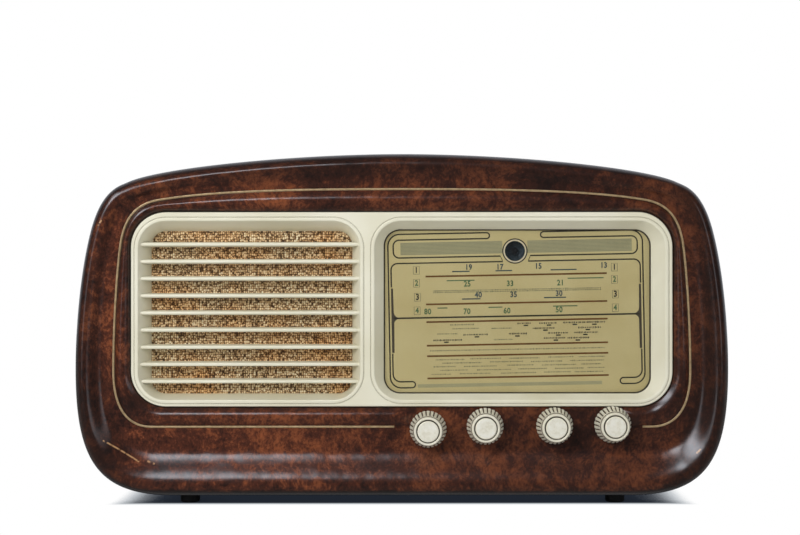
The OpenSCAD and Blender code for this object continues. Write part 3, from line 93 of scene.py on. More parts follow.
def share_of(tree, value, low, high, start=0.0, end=1.0):
    """Takes a value from low to high into start to end, and holds it there beyond them."""
    return add(tree, "MapRange", {"Value": value, "From Min": low, "From Max": high,
                                  "To Min": start, "To Max": end}).outputs[0]


def ramp(tree, value, stops):
    """A colour ramp over value; stops are (position, colour)."""
    made = add(tree, "ValToRGB", {"Fac": value})
    band = made.color_ramp
    while len(band.elements) < len(stops):
        band.elements.new(0.5)
    for element, (position, colour) in zip(band.elements, stops):
        element.position = position
        element.color = (*colour, 1)
    return made.outputs["Color"]


def tint(tree, share, a, b, mode="MIX"):
    """Colour a mixed with colour b, or multiplied by it, by a share."""
    return add(tree, "Mix", {0: share, 6: a, 7: b}, data_type="RGBA", blend_type=mode).outputs[2]


def seen_directly(tree):
    """1 for rays from the camera, a mirror or a glass, 0 for the light that falls on things."""
    path = add(tree, "LightPath").outputs
    mirror = math_of(tree, "MAXIMUM", path["Is Camera Ray"], path["Is Glossy Ray"])
    return math_of(tree, "MAXIMUM", mirror, path["Is Transmission Ray"])


set_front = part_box("front_frame")[0].y
mesh = bpy.data.meshes.new("table_top")
mesh.from_pydata([(-4, -4, 0), (4, -4, 0), (4, 4, 0), (-4, 4, 0)], [], [(0, 1, 2, 3)])
floor = bpy.data.objects.new("table_top", mesh)
bpy.context.scene.collection.objects.link(floor)
# Seen directly, the table is white with a painted shadow under the set: darkened by nearness to it (ambient
# occlusion), and only behind its front line; in the lacquer it is dim
paper = bpy.data.materials.new("white_paper")
paper.use_nodes = True
tree = paper.node_tree
tree.nodes.clear()
# Painted shadow: ambient occlusion near the set, cut off in front of its front line, ramped from near black
# to white
shade = add(tree, "AmbientOcclusion", {"Distance": 0.030}, samples=16).outputs["AO"]
at_y = add(tree, "SeparateXYZ", {0: add(tree, "NewGeometry").outputs["Position"]}).outputs["Y"]
shadow_free_front = share_of(tree, at_y, set_front + 0.052, set_front + 0.022)
table_end = share_of(tree, at_y, -0.45, -0.05, 0.04, 0.13)
in_mirror = add(tree, "LightPath").outputs["Is Glossy Ray"]
drawn = add(tree, "Emission", {
    "Strength": add(tree, "Mix", {0: in_mirror, 2: 1.0, 3: table_end}).outputs[0],
    "Color": ramp(tree, math_of(tree, "MAXIMUM", shade, shadow_free_front), [
        (0.0, (0.006, 0.008, 0.012)), (0.32, (0.022, 0.028, 0.040)), (0.55, (0.55, 0.58, 0.61)),
        (0.75, (1, 1, 1))])})
lit = add(tree, "BsdfDiffuse", {"Color": (0.8, 0.8, 0.8)})
mixed = add(tree, "MixShader", {0: seen_directly(tree), 1: lit.outputs[0], 2: drawn.outputs[0]})
add(tree, "OutputMaterial", {"Surface": mixed.outputs[0]})
floor.data.materials.append(paper)

# Seen directly, the room is white; the lacquer mirrors soft panels in a dark room
world = bpy.data.worlds.new("white_room")
bpy.context.scene.world = world
world.use_nodes = True
tree = world.node_tree
tree.nodes.clear()
way = add(tree, "SeparateXYZ", {0: add(tree, "TexCoord").outputs["Generated"]}).outputs
behind = share_of(tree, way["Y"], 0.35, 0.85)


def panel(tree, way, centre, spread):
    """1 in the middle of a soft panel in front of the set, falling to 0 at its rim."""
    share = math_of(tree, "LESS_THAN", way["Y"], 0.0)
    for axis, middle, half in zip("XZ", centre, spread):
        off = math_of(tree, "DIVIDE", math_of(tree, "SUBTRACT", way[axis], middle), half)
        inside = math_of(tree, "SUBTRACT", 1.0, math_of(tree, "MULTIPLY", off, off), clamp=True)
        share = math_of(tree, "MULTIPLY", share, inside)
    return share


overhead = math_of(tree, "MULTIPLY", panel(tree, way, (-0.20, 0.575), (0.15, 0.12)), 10.5)
key_panel = math_of(tree, "MULTIPLY", panel(tree, way, (-0.56, 0.54), (0.22, 0.25)), 9.5)
left_side = panel(tree, way, (-0.66, 0.15), (0.16, 0.45))
right_side = panel(tree, way, (0.72, 0.10), (0.14, 0.40))
sides = math_of(tree, "ADD", left_side, right_side)
glow = math_of(tree, "MULTIPLY_ADD", sides, 1.5, math_of(tree, "ADD", overhead, key_panel))
in_mirror = add(tree, "LightPath").outputs["Is Glossy Ray"]
mirrored = math_of(tree, "ADD", math_of(tree, "MULTIPLY_ADD", behind, 0.42, 0.035), glow)
bright = add(tree, "Mix", {0: in_mirror, 2: 1.0, 3: mirrored}).outputs[0]
room = add(tree, "Background", {"Color": (1, 1, 1), "Strength": 0.35})
cool = tint(tree, in_mirror, (1, 1, 1), (0.88, 0.92, 1))
shown = add(tree, "Background", {"Color": cool, "Strength": bright})
mixed = add(tree, "MixShader", {0: seen_directly(tree), 1: room.outputs[0], 2: shown.outputs[0]})
add(tree, "OutputWorld", {"Surface": mixed.outputs[0]})


def soft_lamp(name, place, target, size, watts, colour=(1, 1, 1)):
    """A rectangular lamp turned to its target."""
    data = bpy.data.lights.new(name, "AREA")
    data.shape, data.size, data.size_y = "RECTANGLE", size[0], size[1]
    data.energy, data.color = watts, colour
    made = bpy.data.objects.new(name, data)
    bpy.context.scene.collection.objects.link(made)
    made.location = place
    made.rotation_euler = (Vector(target) - Vector(place)).to_track_quat("-Z", "Y").to_euler()
    return made


key = soft_lamp("key", (-0.75, -1.65, 0.85), (0, -0.1, 0.16), (0.8, 0.6), 17.5, (1, 0.985, 0.95))
fill = soft_lamp("fill", (1.9, -1.5, 0.9), (0, 0, 0.16), (1.2, 1.2), 7, (0.96, 0.98, 1))
key.visible_glossy = fill.visible_glossy = False


# Front frame.
# One ring of turned and carved wood, veneered with reddish burl and thickly lacquered: a half
# round roll beside the bezel, a flat band with a groove for the line, a hollow and a rounded edge.
# Depths on the drawing run back from the frame's flat band, and all its sizes are in millimetres
cab_depth = 228
y_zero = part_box("cabinet_shell")[1].y - cab_depth / 1000
half_w, foot, crown = 300, 10, 324
flat_half, belly, shoulder, crown_end = 211, 127, (286, 254), (253, 298)
frame_back, edge_y, crest_in, band_flat = 22, 15, 11, 0.33
crest_foot, crest_top, roll_h, groove_w, groove_deep = 12, 6, 4, 2, 1.2
bezel_x, bezel_z, bezel_r, bezel_gap = (-247, 247), (92.6, 270), 32, 0.8
plain, fade = (-1, 214), 12
knob_at = [(24, 72.2), (75.9, 74.8), (139.2, 75.2), (192.1, 76.2)]
hole_r = 4.6


def straight(a, b):
    """A straight run from a to b, written like the curves."""
    a, b = np.array(a, float), np.array(b, float)
    return [a, a + (b - a) / 3, b - (b - a) / 3, b]


def outline(curve, counts=(32, 60, 20, 48, 32)):
    """A closed outline from five cubic curves of its right half, from the foot round to the crown."""
    half = []
    for piece_of, n in zip(curve, counts):
        a, b, c, d = (np.array(p, float) for p in piece_of)
        for t in np.arange(n) / n:
            half.append((1 - t) ** 3 * a + 3 * (1 - t) ** 2 * t * b + 3 * (1 - t) * t * t * c + t ** 3 * d)
    half.append(np.array(curve[-1][-1], float))
    return np.array(half + [p * (-1, 1) for p in half[-2:0:-1]])


def outward(loop):
    """The direction out of a closed outline at each of its points."""
    along = np.roll(loop, -1, 0) - np.roll(loop, 1, 0)
    along /= np.linalg.norm(along, axis=1)[:, None]
    return np.stack([along[:, 1], -along[:, 0]], 1)


def smooth(t):
    """A soft step from 0 to 1."""
    t = np.clip(t, 0, 1)
    return t * t * (3 - 2 * t)


# Each curve runs from its start by two handles to its end, in millimetres on the drawing
outer = outline([
    straight((0, foot), (flat_half, foot)),
    [(flat_half, foot), (flat_half + (half_w - flat_half) * 0.78, foot),
     (half_w, belly - (belly - foot) * 0.71), (half_w, belly)],
    [(half_w, belly), (half_w, belly + 38), (shoulder[0] + 10, shoulder[1] - 38), shoulder],
    [shoulder, (shoulder[0] - 10, shoulder[1] + 38), (crown_end[0] + 6.51, crown_end[1] - 3.15), crown_end],
    [crown_end, (crown_end[0] - 27.7, crown_end[1] + 13.4), (crown_end[0] * 0.4, crown), (0, crown)]])
line_x, line_foot, line_top = bezel_x[1] + 16.5, bezel_z[0] - 18.6, bezel_z[1] + 21
bend_x, side_z = line_x - 35.5, line_foot + 51
upper_x, upper_z = line_x - 6.5, line_top - 51
top_x, top_z = line_x - 41.5, line_top - 9.8
inlay = outline([
    straight((0, line_foot), (bend_x, line_foot)),
    [(bend_x, line_foot), (bend_x + 22, line_foot), (line_x, line_foot + 16), (line_x, side_z)],
    [(line_x, side_z), (line_x, side_z + 40), (line_x - 3, upper_z - 25), (upper_x, upper_z)],
    [(upper_x, upper_z), (upper_x - 3.5, upper_z + 25), (top_x + 21, line_top - 13.5), (top_x, top_z)],
    [(top_x, top_z), (top_x - 52, line_top - 0.7), (line_x * 0.3, line_top), (0, line_top)]])
hole_x, hole_foot, hole_top = bezel_x[1] + bezel_gap, bezel_z[0] - bezel_gap, bezel_z[1] + bezel_gap
corner = bezel_r + bezel_gap
quarter_handle = 0.5523
bend = corner * (1 - quarter_handle)
opening = outline([
    straight((0, hole_foot), (hole_x - corner, hole_foot)),
    [(hole_x - corner, hole_foot), (hole_x - bend, hole_foot), (hole_x, hole_foot + bend),
     (hole_x, hole_foot + corner)],
    straight((hole_x, hole_foot + corner), (hole_x, hole_top - corner)),
    [(hole_x, hole_top - corner), (hole_x, hole_top - bend), (hole_x - bend, hole_top),
     (hole_x - corner, hole_top)],
    straight((hole_x - corner, hole_top), (0, hole_top))])
outer_way, inlay_way = outward(outer), outward(inlay)


def moulding(i):
    """The section of the frame at one place round it, as points across, deep and up."""
    inner, line, line_out, edge, edge_out = opening[i], inlay[i], inlay_way[i], outer[i], outer_way[i]
    crest = edge - edge_out * crest_in
    high = crest_foot + (crest_top - crest_foot) * min(max((edge[1] - foot) / (crown - foot), 0), 1)
    on_plain = smooth((line[0] - plain[0]) / fade) * smooth((plain[1] - line[0]) / fade)
    kept = 1.0 if line[1] > bezel_z[0] else 1 - on_plain
    near, far = line - line_out * groove_w / 2, line + line_out * groove_w / 2
    deep = groove_deep * max(kept, 0.05)
    points = [(inner, frame_back), (inner, 0.6), (inner + (near - inner) * 0.006, 0.12)]
    for t in np.linspace(0.02, 1, 17)[:-1]:
        points.append((inner + (near - inner) * t, -roll_h * kept * math.sin(math.pi * t)))
    points += [(near, 0), (near + line_out * 0.02, deep), (far - line_out * 0.02, deep), (far, 0)]
    for t in np.linspace(0, 1, 25):
        points.append((far + (crest - far) * (band_flat + (1 - band_flat) * t), -high * float(smooth(t))))
    for t in np.radians(np.linspace(5, 90, 16)):
        points.append((crest + edge_out * crest_in * math.sin(t), edge_y - (edge_y + high) * math.cos(t)))
    points.append((edge, frame_back))
    return [(p[0], y, p[1]) for p, y in points]


def loft(rings, closed=False):
    """A closed skin through rings of equally many points, its ends joined or capped."""
    count, turns = len(rings[0]), len(rings)
    faces = []
    for i in range(turns if closed else turns - 1):
        low, high = i * count, (i + 1) % turns * count
        faces += [(low + j, low + (j + 1) % count, high + (j + 1) % count, high + j) for j in range(count)]
    if not closed:
        faces += [tuple(range(count)), tuple(range((turns - 1) * count, turns * count))]
    return [point for row in rings for point in row], faces


def piece(name, skins, *finishes, crease=32):
    """A mesh object of one or more closed skins, given in millimetres on the drawing."""
    mesh = bpy.data.meshes.new(name)
    body = bmesh.new()
    for points, faces in skins:
        start = [body.verts.new((x / 1000, y / 1000 + y_zero, z / 1000)) for x, y, z in points]
        for face in faces:
            body.faces.new([start[i] for i in face])
    bmesh.ops.remove_doubles(body, verts=body.verts, dist=1e-6)
    bmesh.ops.dissolve_degenerate(body, edges=body.edges, dist=1e-8)
    bmesh.ops.recalc_face_normals(body, faces=body.faces)
    body.to_mesh(mesh)
    body.free()
    mesh.shade_smooth()
    mesh.set_sharp_from_angle(angle=math.radians(crease))
    for coat in finishes:
        mesh.materials.append(coat)
    made = bpy.data.objects.new(name, mesh)
    bpy.context.scene.collection.objects.link(made)
    return made


def ring(centre, radius, y, n=48):
    """A circle at one depth."""
    return [(centre[0] + radius * math.cos(a), y, centre[1] + radius * math.sin(a))
            for a in np.arange(n) * 2 * math.pi / n]


def carve(target, tool):
    """Cuts one mesh out of another for good."""
    cut = target.modifiers.new("cut", "BOOLEAN")
    cut.object, cut.solver = tool, "EXACT"
    shape = bpy.data.meshes.new_from_object(target.evaluated_get(bpy.context.evaluated_depsgraph_get()))
    target.modifiers.remove(cut)
    old, target.data = target.data, shape
    shape.name = old.name + "_cut"
    bpy.data.meshes.remove(old)
    bpy.data.objects.remove(tool)


def group(name, inputs, outputs):
    """An empty shader group with named inputs and outputs, and its two end nodes."""
    made = bpy.data.node_groups.new(name, "ShaderNodeTree")
    for label, kind, value in inputs:
        socket = made.interface.new_socket(label, in_out="INPUT", socket_type="NodeSocket" + kind)
        socket.default_value = value
    for label, kind in outputs:
        made.interface.new_socket(label, in_out="OUTPUT", socket_type="NodeSocket" + kind)
    return made, made.nodes.new("NodeGroupInput").outputs, made.nodes.new("NodeGroupOutput").inputs


def place_in(tree):
    """The place on the piece, in metres."""
    return add(tree, "TexCoord").outputs["Object"]


def noise(tree, place, scale, detail, rough=0.5):
    """A noise texture's two outputs, Fac and Color."""
    inputs = {"Vector": place, "Scale": scale, "Detail": detail, "Roughness": rough}
    return add(tree, "TexNoise", inputs).outputs


def shifted(tree, place, push, amount):
    """A place pushed about by a colour noise, amount metres to each side."""
    centred = add(tree, "VectorMath", {0: push, 1: (0.5, 0.5, 0.5)}, operation="SUBTRACT").outputs[0]
    scaled = add(tree, "VectorMath", {0: centred, 3: amount}, operation="SCALE").outputs[0]
    return add(tree, "VectorMath", {0: place, 1: scaled}, operation="ADD").outputs[0]


# Burl veneer: blurred mottling a few millimetres across and short fibres, over drifting wider clouds
burl, given, out = group("burl figure", [
    ("Size", "Float", 1.0), ("Dark", "Color", (0.022, 0.009, 0.007, 1)),
    ("Middle", "Color", (0.102, 0.029, 0.015, 1)), ("Light", "Color", (0.33, 0.094, 0.034, 1))],
    [("Color", "Color"), ("Height", "Float")])
spot = add(burl, "VectorMath", {0: place_in(burl), 3: given["Size"]}, operation="SCALE").outputs[0]
wide = noise(burl, spot, 13, 3)
bent = shifted(burl, spot, wide["Color"], 0.03)
curl = noise(burl, bent, 60, 3, 0.6)["Color"]
curled = shifted(burl, bent, curl, 0.012)
long_way = add(burl, "VectorMath", {0: curled, 1: (1, 1, 0.88)}, operation="MULTIPLY").outputs[0]
cloud = noise(burl, long_way, 95, 6, 0.70)["Fac"]
across = add(burl, "VectorMath", {0: bent, 1: (1, 1, 0.7)}, operation="MULTIPLY").outputs[0]
fibre = noise(burl, across, 430, 3, 0.6)["Fac"]
depth = math_of(burl, "MULTIPLY_ADD", fibre, 0.44, math_of(burl, "MULTIPLY", cloud, 0.78))
depth = math_of(burl, "MULTIPLY_ADD", wide["Fac"], 0.56, depth)
depth = share_of(burl, depth, 0.70, 1.07)
pores = noise(burl, spot, 900, 2)["Fac"]
pore = share_of(burl, pores, 0.60, 0.72)
low = share_of(burl, depth, 0.0, 0.55)
high = share_of(burl, depth, 0.5, 1.0)
figure = tint(burl, high, tint(burl, low, given["Dark"], given["Middle"]), given["Light"])
figure = tint(burl, math_of(burl, "MULTIPLY", pore, 0.5), figure, given["Dark"])
burl.links.new(figure, out["Color"])
burl.links.new(depth, out["Height"])


def finish(name, **values):
    """A material with one Principled shader; values are its constants by socket name."""
    made = bpy.data.materials.new(name)
    made.use_nodes = True
    shader = made.node_tree.nodes["Principled BSDF"]
    for key, value in values.items():
        feed(made.node_tree, shader.inputs[key.replace("_", " ")], value)
    return made, made.node_tree, shader.inputs


def use(tree, which, **values):
    """A shader group placed in a material with its own values."""
    made = tree.nodes.new("ShaderNodeGroup")
    made.node_tree = which
    for key, value in values.items():
        feed(tree, made.inputs[key.replace("_", " ")], value)
    return made.outputs


def relief(tree, height, strength, distance):
    """A normal bumped by a height."""
    return add(tree, "Bump", {"Strength": strength, "Distance": distance, "Height": height}).outputs["Normal"]


burl_veneer, tree, inputs = finish("burl_veneer", Roughness=0.5, Specular_IOR_Level=0.12,
                                   Coat_Weight=1.0, Coat_Roughness=0.17, Coat_IOR=1.5)
made = use(tree, burl)
# Painted shade: the veneer is darkened towards near black on the outer rounding where it turns away from the
# front, at both ends, along the top, close round the bezel, and gradually towards the right
ends_sweep_from = 0.245
turned_in = add(tree, "SeparateXYZ", {0: add(tree, "NewGeometry").outputs["Normal"]}).outputs["Y"]
rounding_shade = share_of(tree, turned_in, -0.93, -0.62, end=0.86)
at = add(tree, "SeparateXYZ", {0: place_in(tree)}).outputs
aside = math_of(tree, "ABSOLUTE", at["X"])
beside = math_of(tree, "SUBTRACT", aside, bezel_x[1] / 1000)
past_top = math_of(tree, "SUBTRACT", at["Z"], bezel_z[1] / 1000)
past_foot = math_of(tree, "SUBTRACT", bezel_z[0] / 1000, at["Z"])
from_bezel = math_of(tree, "MAXIMUM", beside, math_of(tree, "MAXIMUM", past_top, past_foot))
bezel_shade = share_of(tree, from_bezel, 0.001, 0.011, 0.62, 0.0)
rightward_shade = share_of(tree, at["X"], -0.24, 0.12, end=0.60)
top_shade = share_of(tree, at["Z"], 0.268, 0.312, end=0.72)
below = math_of(tree, "MAXIMUM", math_of(tree, "SUBTRACT", belly / 1000, at["Z"]), 0.0)
over = math_of(tree, "MAXIMUM", math_of(tree, "SUBTRACT", at["Z"], ends_sweep_from), 0.0)
reach = math_of(tree, "MULTIPLY_ADD", below, 0.35, math_of(tree, "MULTIPLY_ADD", over, 0.55, aside))
on_right = math_of(tree, "GREATER_THAN", at["X"], 0.0)
right_end_shade = math_of(tree, "MULTIPLY", share_of(tree, reach, 0.244, 0.280, end=0.86), on_right)
left_end_shade = share_of(tree, reach, 0.268, 0.300, end=0.80)
painted_shade = rounding_shade
for mask in (bezel_shade, rightward_shade, top_shade, right_end_shade, left_end_shade):
    painted_shade = math_of(tree, "MAXIMUM", painted_shade, mask)
# The near-black colour of the painted shade
shaded_veneer = tint(tree, painted_shade, made["Color"], (0.013, 0.008, 0.007))


def scratched(tree, start, end, width):
    """1 along a thin broken scratch between two places on the front."""
    flat = add(tree, "VectorMath", {0: place_in(tree), 1: (1, 0, 1)}, operation="MULTIPLY").outputs[0]
    a, b = Vector((start[0], 0, start[1])) / 1000, Vector((end[0], 0, end[1])) / 1000
    run = b - a
    from_a = add(tree, "VectorMath", {0: flat, 1: a}, operation="SUBTRACT").outputs[0]
    per_run = run / run.length_squared
    along = add(tree, "VectorMath", {0: from_a, 1: per_run}, operation="DOT_PRODUCT").outputs["Value"]
    held = math_of(tree, "ADD", along, 0.0, clamp=True)
    nearest = add(tree, "VectorMath", {0: run, 3: held}, operation="SCALE").outputs[0]
    off = add(tree, "VectorMath", {0: from_a, 1: nearest}, operation="DISTANCE").outputs["Value"]
    gaps = noise(tree, place_in(tree), 240, 2)["Fac"]
    near = share_of(tree, off, width / 1000, width / 3000)
    return math_of(tree, "MULTIPLY", near, share_of(tree, gaps, 0.38, 0.52))


bare = scratched(tree, (-271, 62), (-239.5, 43), 0.9)
for start, end in (((-231, 43), (-225.5, 41)), ((268, 51), (271, 54)), ((-276, 258), (-273, 262))):
    bare = math_of(tree, "MAXIMUM", bare, scratched(tree, start, end, 1.1))
tree.links.new(tint(tree, bare, shaded_veneer, (0.48, 0.27, 0.13)), inputs["Base Color"])
wavy = noise(tree, place_in(tree), 34, 2)["Fac"]
tree.links.new(relief(tree, wavy, 0.16, 0.004), inputs["Coat Normal"])

sections = [moulding(i) for i in range(len(outer))]
front_moulding = piece("front_moulding", [loft(sections, closed=True)], crease=50)
drills = piece("drills", [loft([ring(at, hole_r, y) for y in (-20, 30)]) for at in knob_at])
carve(front_moulding, drills)
front_moulding.data.shade_smooth()
front_moulding.data.set_sharp_from_angle(angle=math.radians(50))
front_moulding.data.materials.append(burl_veneer)
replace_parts(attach(front_moulding, "cabinet"), "front_frame")


# Inlaid line.
# A two millimetre strip of gilt brass with a rounded top, pressed into the groove of the flat
# band and glued. It runs round the front and stops on both sides of the plain stretch at the knobs.
line_half, line_proud = groove_w / 2 - 0.05, 0.4
straight_foot = 32
line_route = [(np.array((plain[1] + 6, line_foot)), np.array((0, -1)))]
line_route += zip(inlay[straight_foot:1 - straight_foot], inlay_way[straight_foot:1 - straight_foot])
line_route += [(np.array((plain[0] - 6, line_foot)), np.array((0, -1)))]


def strip(point, way):
    """The line's section at one place: flat in the groove, arched outside it."""
    arch = [(math.cos(a) * line_half, -line_proud * math.sin(a)) for a in np.linspace(0, math.pi, 9)]
    section = [(-line_half, groove_deep)] + arch[::-1] + [(line_half, groove_deep)]
    return [(p[0], y, p[1]) for p, y in ((point + way * s, y) for s, y in section)]


mottle, given, out = group("mottle", [
    ("Light", "Color", (0.8, 0.8, 0.8, 1)), ("Dark", "Color", (0.5, 0.5, 0.5, 1)), ("Scale", "Float", 60.0),
    ("Spread", "Float", 1.0), ("Streak", "Vector", (1, 1, 1))], [("Color", "Color"), ("Mask", "Float")])
spot = add(mottle, "VectorMath", {0: place_in(mottle), 1: given["Streak"]}, operation="MULTIPLY").outputs[0]
cloud = noise(mottle, spot, given["Scale"], 4, 0.62)["Fac"]
steep = math_of(mottle, "MULTIPLY", given["Spread"], 3.0)
mask = math_of(mottle, "MULTIPLY_ADD", math_of(mottle, "SUBTRACT", cloud, 0.5), steep, 0.5, clamp=True)
mottle.links.new(tint(mottle, mask, given["Dark"], given["Light"]), out["Color"])
mottle.links.new(mask, out["Mask"])

gilt, tree, inputs = finish("gilt", Metallic=0.3, Roughness=0.42)
made = use(tree, mottle, Light=(0.60, 0.44, 0.25), Dark=(0.34, 0.24, 0.13), Scale=220.0, Spread=0.8)
tree.links.new(made["Color"], inputs["Base Color"])
tree.links.new(share_of(tree, made["Mask"], 0.0, 1.0, 0.5, 0.3), inputs["Roughness"])
gilt_strip = piece("gilt_strip", [loft([strip(*p) for p in line_route])], gilt, crease=60)
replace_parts(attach(gilt_strip, "cabinet"), "inlay_line")


# Cabinet shell.
# Plywood bent round in one piece, glued behind the front frame and veneered and lacquered like
# it. The rear edge shows its plies, and a rebate there takes the back panel and its corner blocks.
rebate_y, shell_in, shell_step, rebate_in = 219, 11, 3, 7


def wrapped(section):
    """The shell's section at each place round the outline, from pairs of inset and depth."""
    return [[(p[0], y, p[1]) for p, y in ((place - way * inset, y) for inset, y in section)]
            for place, way in zip(outer, outer_way)]


ply, given, out = group("ply edge", [
    ("Light", "Color", (0.42, 0.28, 0.15, 1)), ("Dark", "Color", (0.16, 0.09, 0.05, 1)),
    ("Layers", "Float", 1.0)], [("Color", "Color"), ("Height", "Float")])
grain = noise(ply, place_in(ply), 420, 3)["Fac"]
sheets = noise(ply, place_in(ply), 30, 3, 0.7)["Fac"]
both = math_of(ply, "MULTIPLY_ADD", grain, 0.5, math_of(ply, "MULTIPLY", sheets, given["Layers"]), clamp=True)
ply.links.new(tint(ply, both, given["Dark"], given["Light"]), out["Color"])
ply.links.new(both, out["Height"])

shell_veneer, tree, inputs = finish("shell_veneer", Roughness=0.5, Specular_IOR_Level=0.12,
                                    Coat_Weight=0.9, Coat_Roughness=0.09)
made = use(tree, burl, Size=0.8, Dark=(0.012, 0.006, 0.004), Middle=(0.070, 0.025, 0.014),
           Light=(0.20, 0.078, 0.032))
tree.links.new(made["Color"], inputs["Base Color"])
tree.links.new(relief(tree, made["Height"], 0.05, 0.002), inputs["Normal"])

bare_ply, tree, inputs = finish("bare_ply", Roughness=0.75)
made = use(tree, ply, Layers=0.8)
tree.links.new(made["Color"], inputs["Base Color"])
tree.links.new(relief(tree, made["Height"], 0.3, 0.0004), inputs["Normal"])

shell_section = [
    (shell_step, frame_back), (shell_step, cab_depth - 0.8), (shell_step + 0.25, cab_depth - 0.25),
    (shell_step + 0.8, cab_depth), (rebate_in - 0.4, cab_depth), (rebate_in, cab_depth - 0.4),
    (rebate_in, rebate_y), (shell_in, rebate_y), (shell_in, frame_back)]
shell = piece("bent_shell", [loft(wrapped(shell_section), closed=True)], shell_veneer, bare_ply, crease=40)
for face in shell.data.polygons:
    depth_of = (face.center.y - y_zero) * 1000
    across = depth_of > cab_depth - 0.1 or (depth_of > rebate_y - 1 and abs(face.normal.y) > 0.5)
    face.material_index = 1 if across else 0
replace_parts(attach(shell, "cabinet"), "cabinet_shell")


# Screwed back, feet and screws.
# The back is perforated hardboard in the rear rebate, the feet are turned black rubber, and the
# screws are brass and zinc. They are the drawn solids, shaded smooth.
ease = bpy.data.node_groups.new("smooth by angle", "GeometryNodeTree")
for end in ("INPUT", "OUTPUT"):
    ease.interface.new_socket("Geometry", in_out=end, socket_type="NodeSocketGeometry")
came, left = ease.nodes.new("NodeGroupInput"), ease.nodes.new("NodeGroupOutput")
faces = ease.nodes.new("GeometryNodeSetShadeSmooth")
edges = ease.nodes.new("GeometryNodeSetShadeSmooth")
edges.domain = "EDGE"
edges.inputs["Shade Smooth"].default_value = False
angle = ease.nodes.new("GeometryNodeInputMeshEdgeAngle")
sharp = ease.nodes.new("FunctionNodeCompare")
sharp.operation = "GREATER_THAN"
sharp.inputs[1].default_value = math.radians(32)
ease.links.new(angle.outputs["Unsigned Angle"], sharp.inputs[0])
ease.links.new(sharp.outputs[0], edges.inputs["Selection"])
ease.links.new(came.outputs[0], faces.inputs["Geometry"])
ease.links.new(faces.outputs[0], edges.inputs["Geometry"])
ease.links.new(edges.outputs[0], left.inputs[0])


def dress(finish_of, *names, bevel=0.0):
    """Gives drawn solids their material, eased edges and smooth shading."""
    for name in names:
        target = nodes[name]
        target.data.materials.clear()
        target.data.materials.append(finish_of)
        target.modifiers.new("weld", "WELD").merge_threshold = 1e-6
        if bevel:
            eased = target.modifiers.new("eased", "BEVEL")
            eased.width, eased.segments, eased.limit_method = bevel / 1000, 2, "ANGLE"
            eased.angle_limit = math.radians(40)
            eased.use_clamp_overlap = True
        target.modifiers.new("smooth", "NODES").node_group = ease


def mottled(name, light, dark, scale, rough, spread=1.0, metal=0.0, bump=0.0, streak=(1, 1, 1), **more):
    """A finish whose colour and gloss vary in clouds, for the plain materials of the set."""
    made, tree, inputs = finish(name, Metallic=metal, **more)
    clouds = use(tree, mottle, Light=light, Dark=dark, Scale=scale, Spread=spread, Streak=streak)
    tree.links.new(clouds["Color"], inputs["Base Color"])
    tree.links.new(share_of(tree, clouds["Mask"], 0.0, 1.0, *rough), inputs["Roughness"])
    if bump:
        tree.links.new(relief(tree, clouds["Mask"], 0.5, bump), inputs["Normal"])
    return made


hardboard = mottled("hardboard", (0.30, 0.16, 0.075), (0.15, 0.075, 0.035), 380, (0.65, 0.85), bump=0.0003)
rubber = mottled("foot_rubber", (0.022, 0.022, 0.024), (0.010, 0.010, 0.011), 300, (0.55, 0.8), bump=0.0002)
brass = mottled("brass", (0.72, 0.50, 0.22), (0.46, 0.30, 0.12), 240, (0.25, 0.5), metal=1.0)
zinc = mottled("zinc_steel", (0.62, 0.63, 0.64), (0.42, 0.43, 0.44), 160, (0.3, 0.5), metal=1.0)
dress(hardboard, "back_panel")
dress(rubber, "feet")
dress(zinc, "foot_screws")
dress(brass, "wood_screws")


# Bezel and louvres.
# One cream moulding screwed from behind: a flat face with a rounded edge, a fine groove and a bead
# round each window, sloping walls down to the cloth and to the glass, and nine round-nosed louvres.
face_y, wall_t, rim_left, rim_right, rim_top, rim_foot = -2.5, 2.5, 6.4, 6.6, 8.0, 6.0
split_x, bar_w, window_r, cloth_r, dial_r = -37.8, 12.8, 25, 13, 15
bead_w, line_w, line_deep, bead_h, edge_r = 2.9, 0.9, 0.7, 0.35, 1.3
cloth_box, glass_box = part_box("grille_cloth"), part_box("dial_glass")
cloth_y = (cloth_box[0].y - y_zero) * 1000
glass_y = (glass_box[0].y - y_zero) * 1000
glass_back = (glass_box[1].y - y_zero) * 1000
window_z = (bezel_z[0] + rim_foot, bezel_z[1] - rim_top)
lap, glass_lap = 3, 4.5
cloth_low = cloth_box[0].z * 1000 + lap - window_z[0]
glass_low = glass_box[0].z * 1000 + glass_lap - window_z[0]
# Each window: left and right edge, how far it closes in at its left, right, foot and top, inner
# corner and the depth of its rear edge
windows = [((bezel_x[0] + rim_left, split_x), (8.6, 8.6, cloth_low, 9.0), cloth_r, cloth_y),
           ((split_x + bar_w, bezel_x[1] - rim_right), (8.4, 11.5, glass_low, 7.7), dial_r, glass_y)]


def rounded(x, z, r, y, n=14):
    """A rectangle with round corners at one depth."""
    centres = [(x[0] + r, z[0] + r), (x[1] - r, z[0] + r), (x[1] - r, z[1] - r), (x[0] + r, z[1] - r)]
    return [(cx + r * math.cos(a), y, cz + r * math.sin(a)) for q, (cx, cz) in enumerate(centres)
            for a in np.radians(180 + 90 * q + np.linspace(0, 90, n + 1))]


def belt(rings):
    """The open skin through rings, without ends."""
    points, faces = loft(rings)
    return points, faces[:-2]


def web(loops):
    """A flat skin inside an outline and round the holes in it."""
    flat = [[Vector((x, z, 0)) for x, _, z in loop] for loop in loops]
    return [p for loop in loops for p in loop], [tuple(t) for t in tessellate_polygon(flat)]


def merged(skins):
    """Several skins as one."""
    starts = np.cumsum([0] + [len(points) for points, _ in skins[:-1]])
    return ([p for points, _ in skins for p in points],
            [tuple(i + start for i in face) for (_, faces), start in zip(skins, starts) for face in faces])


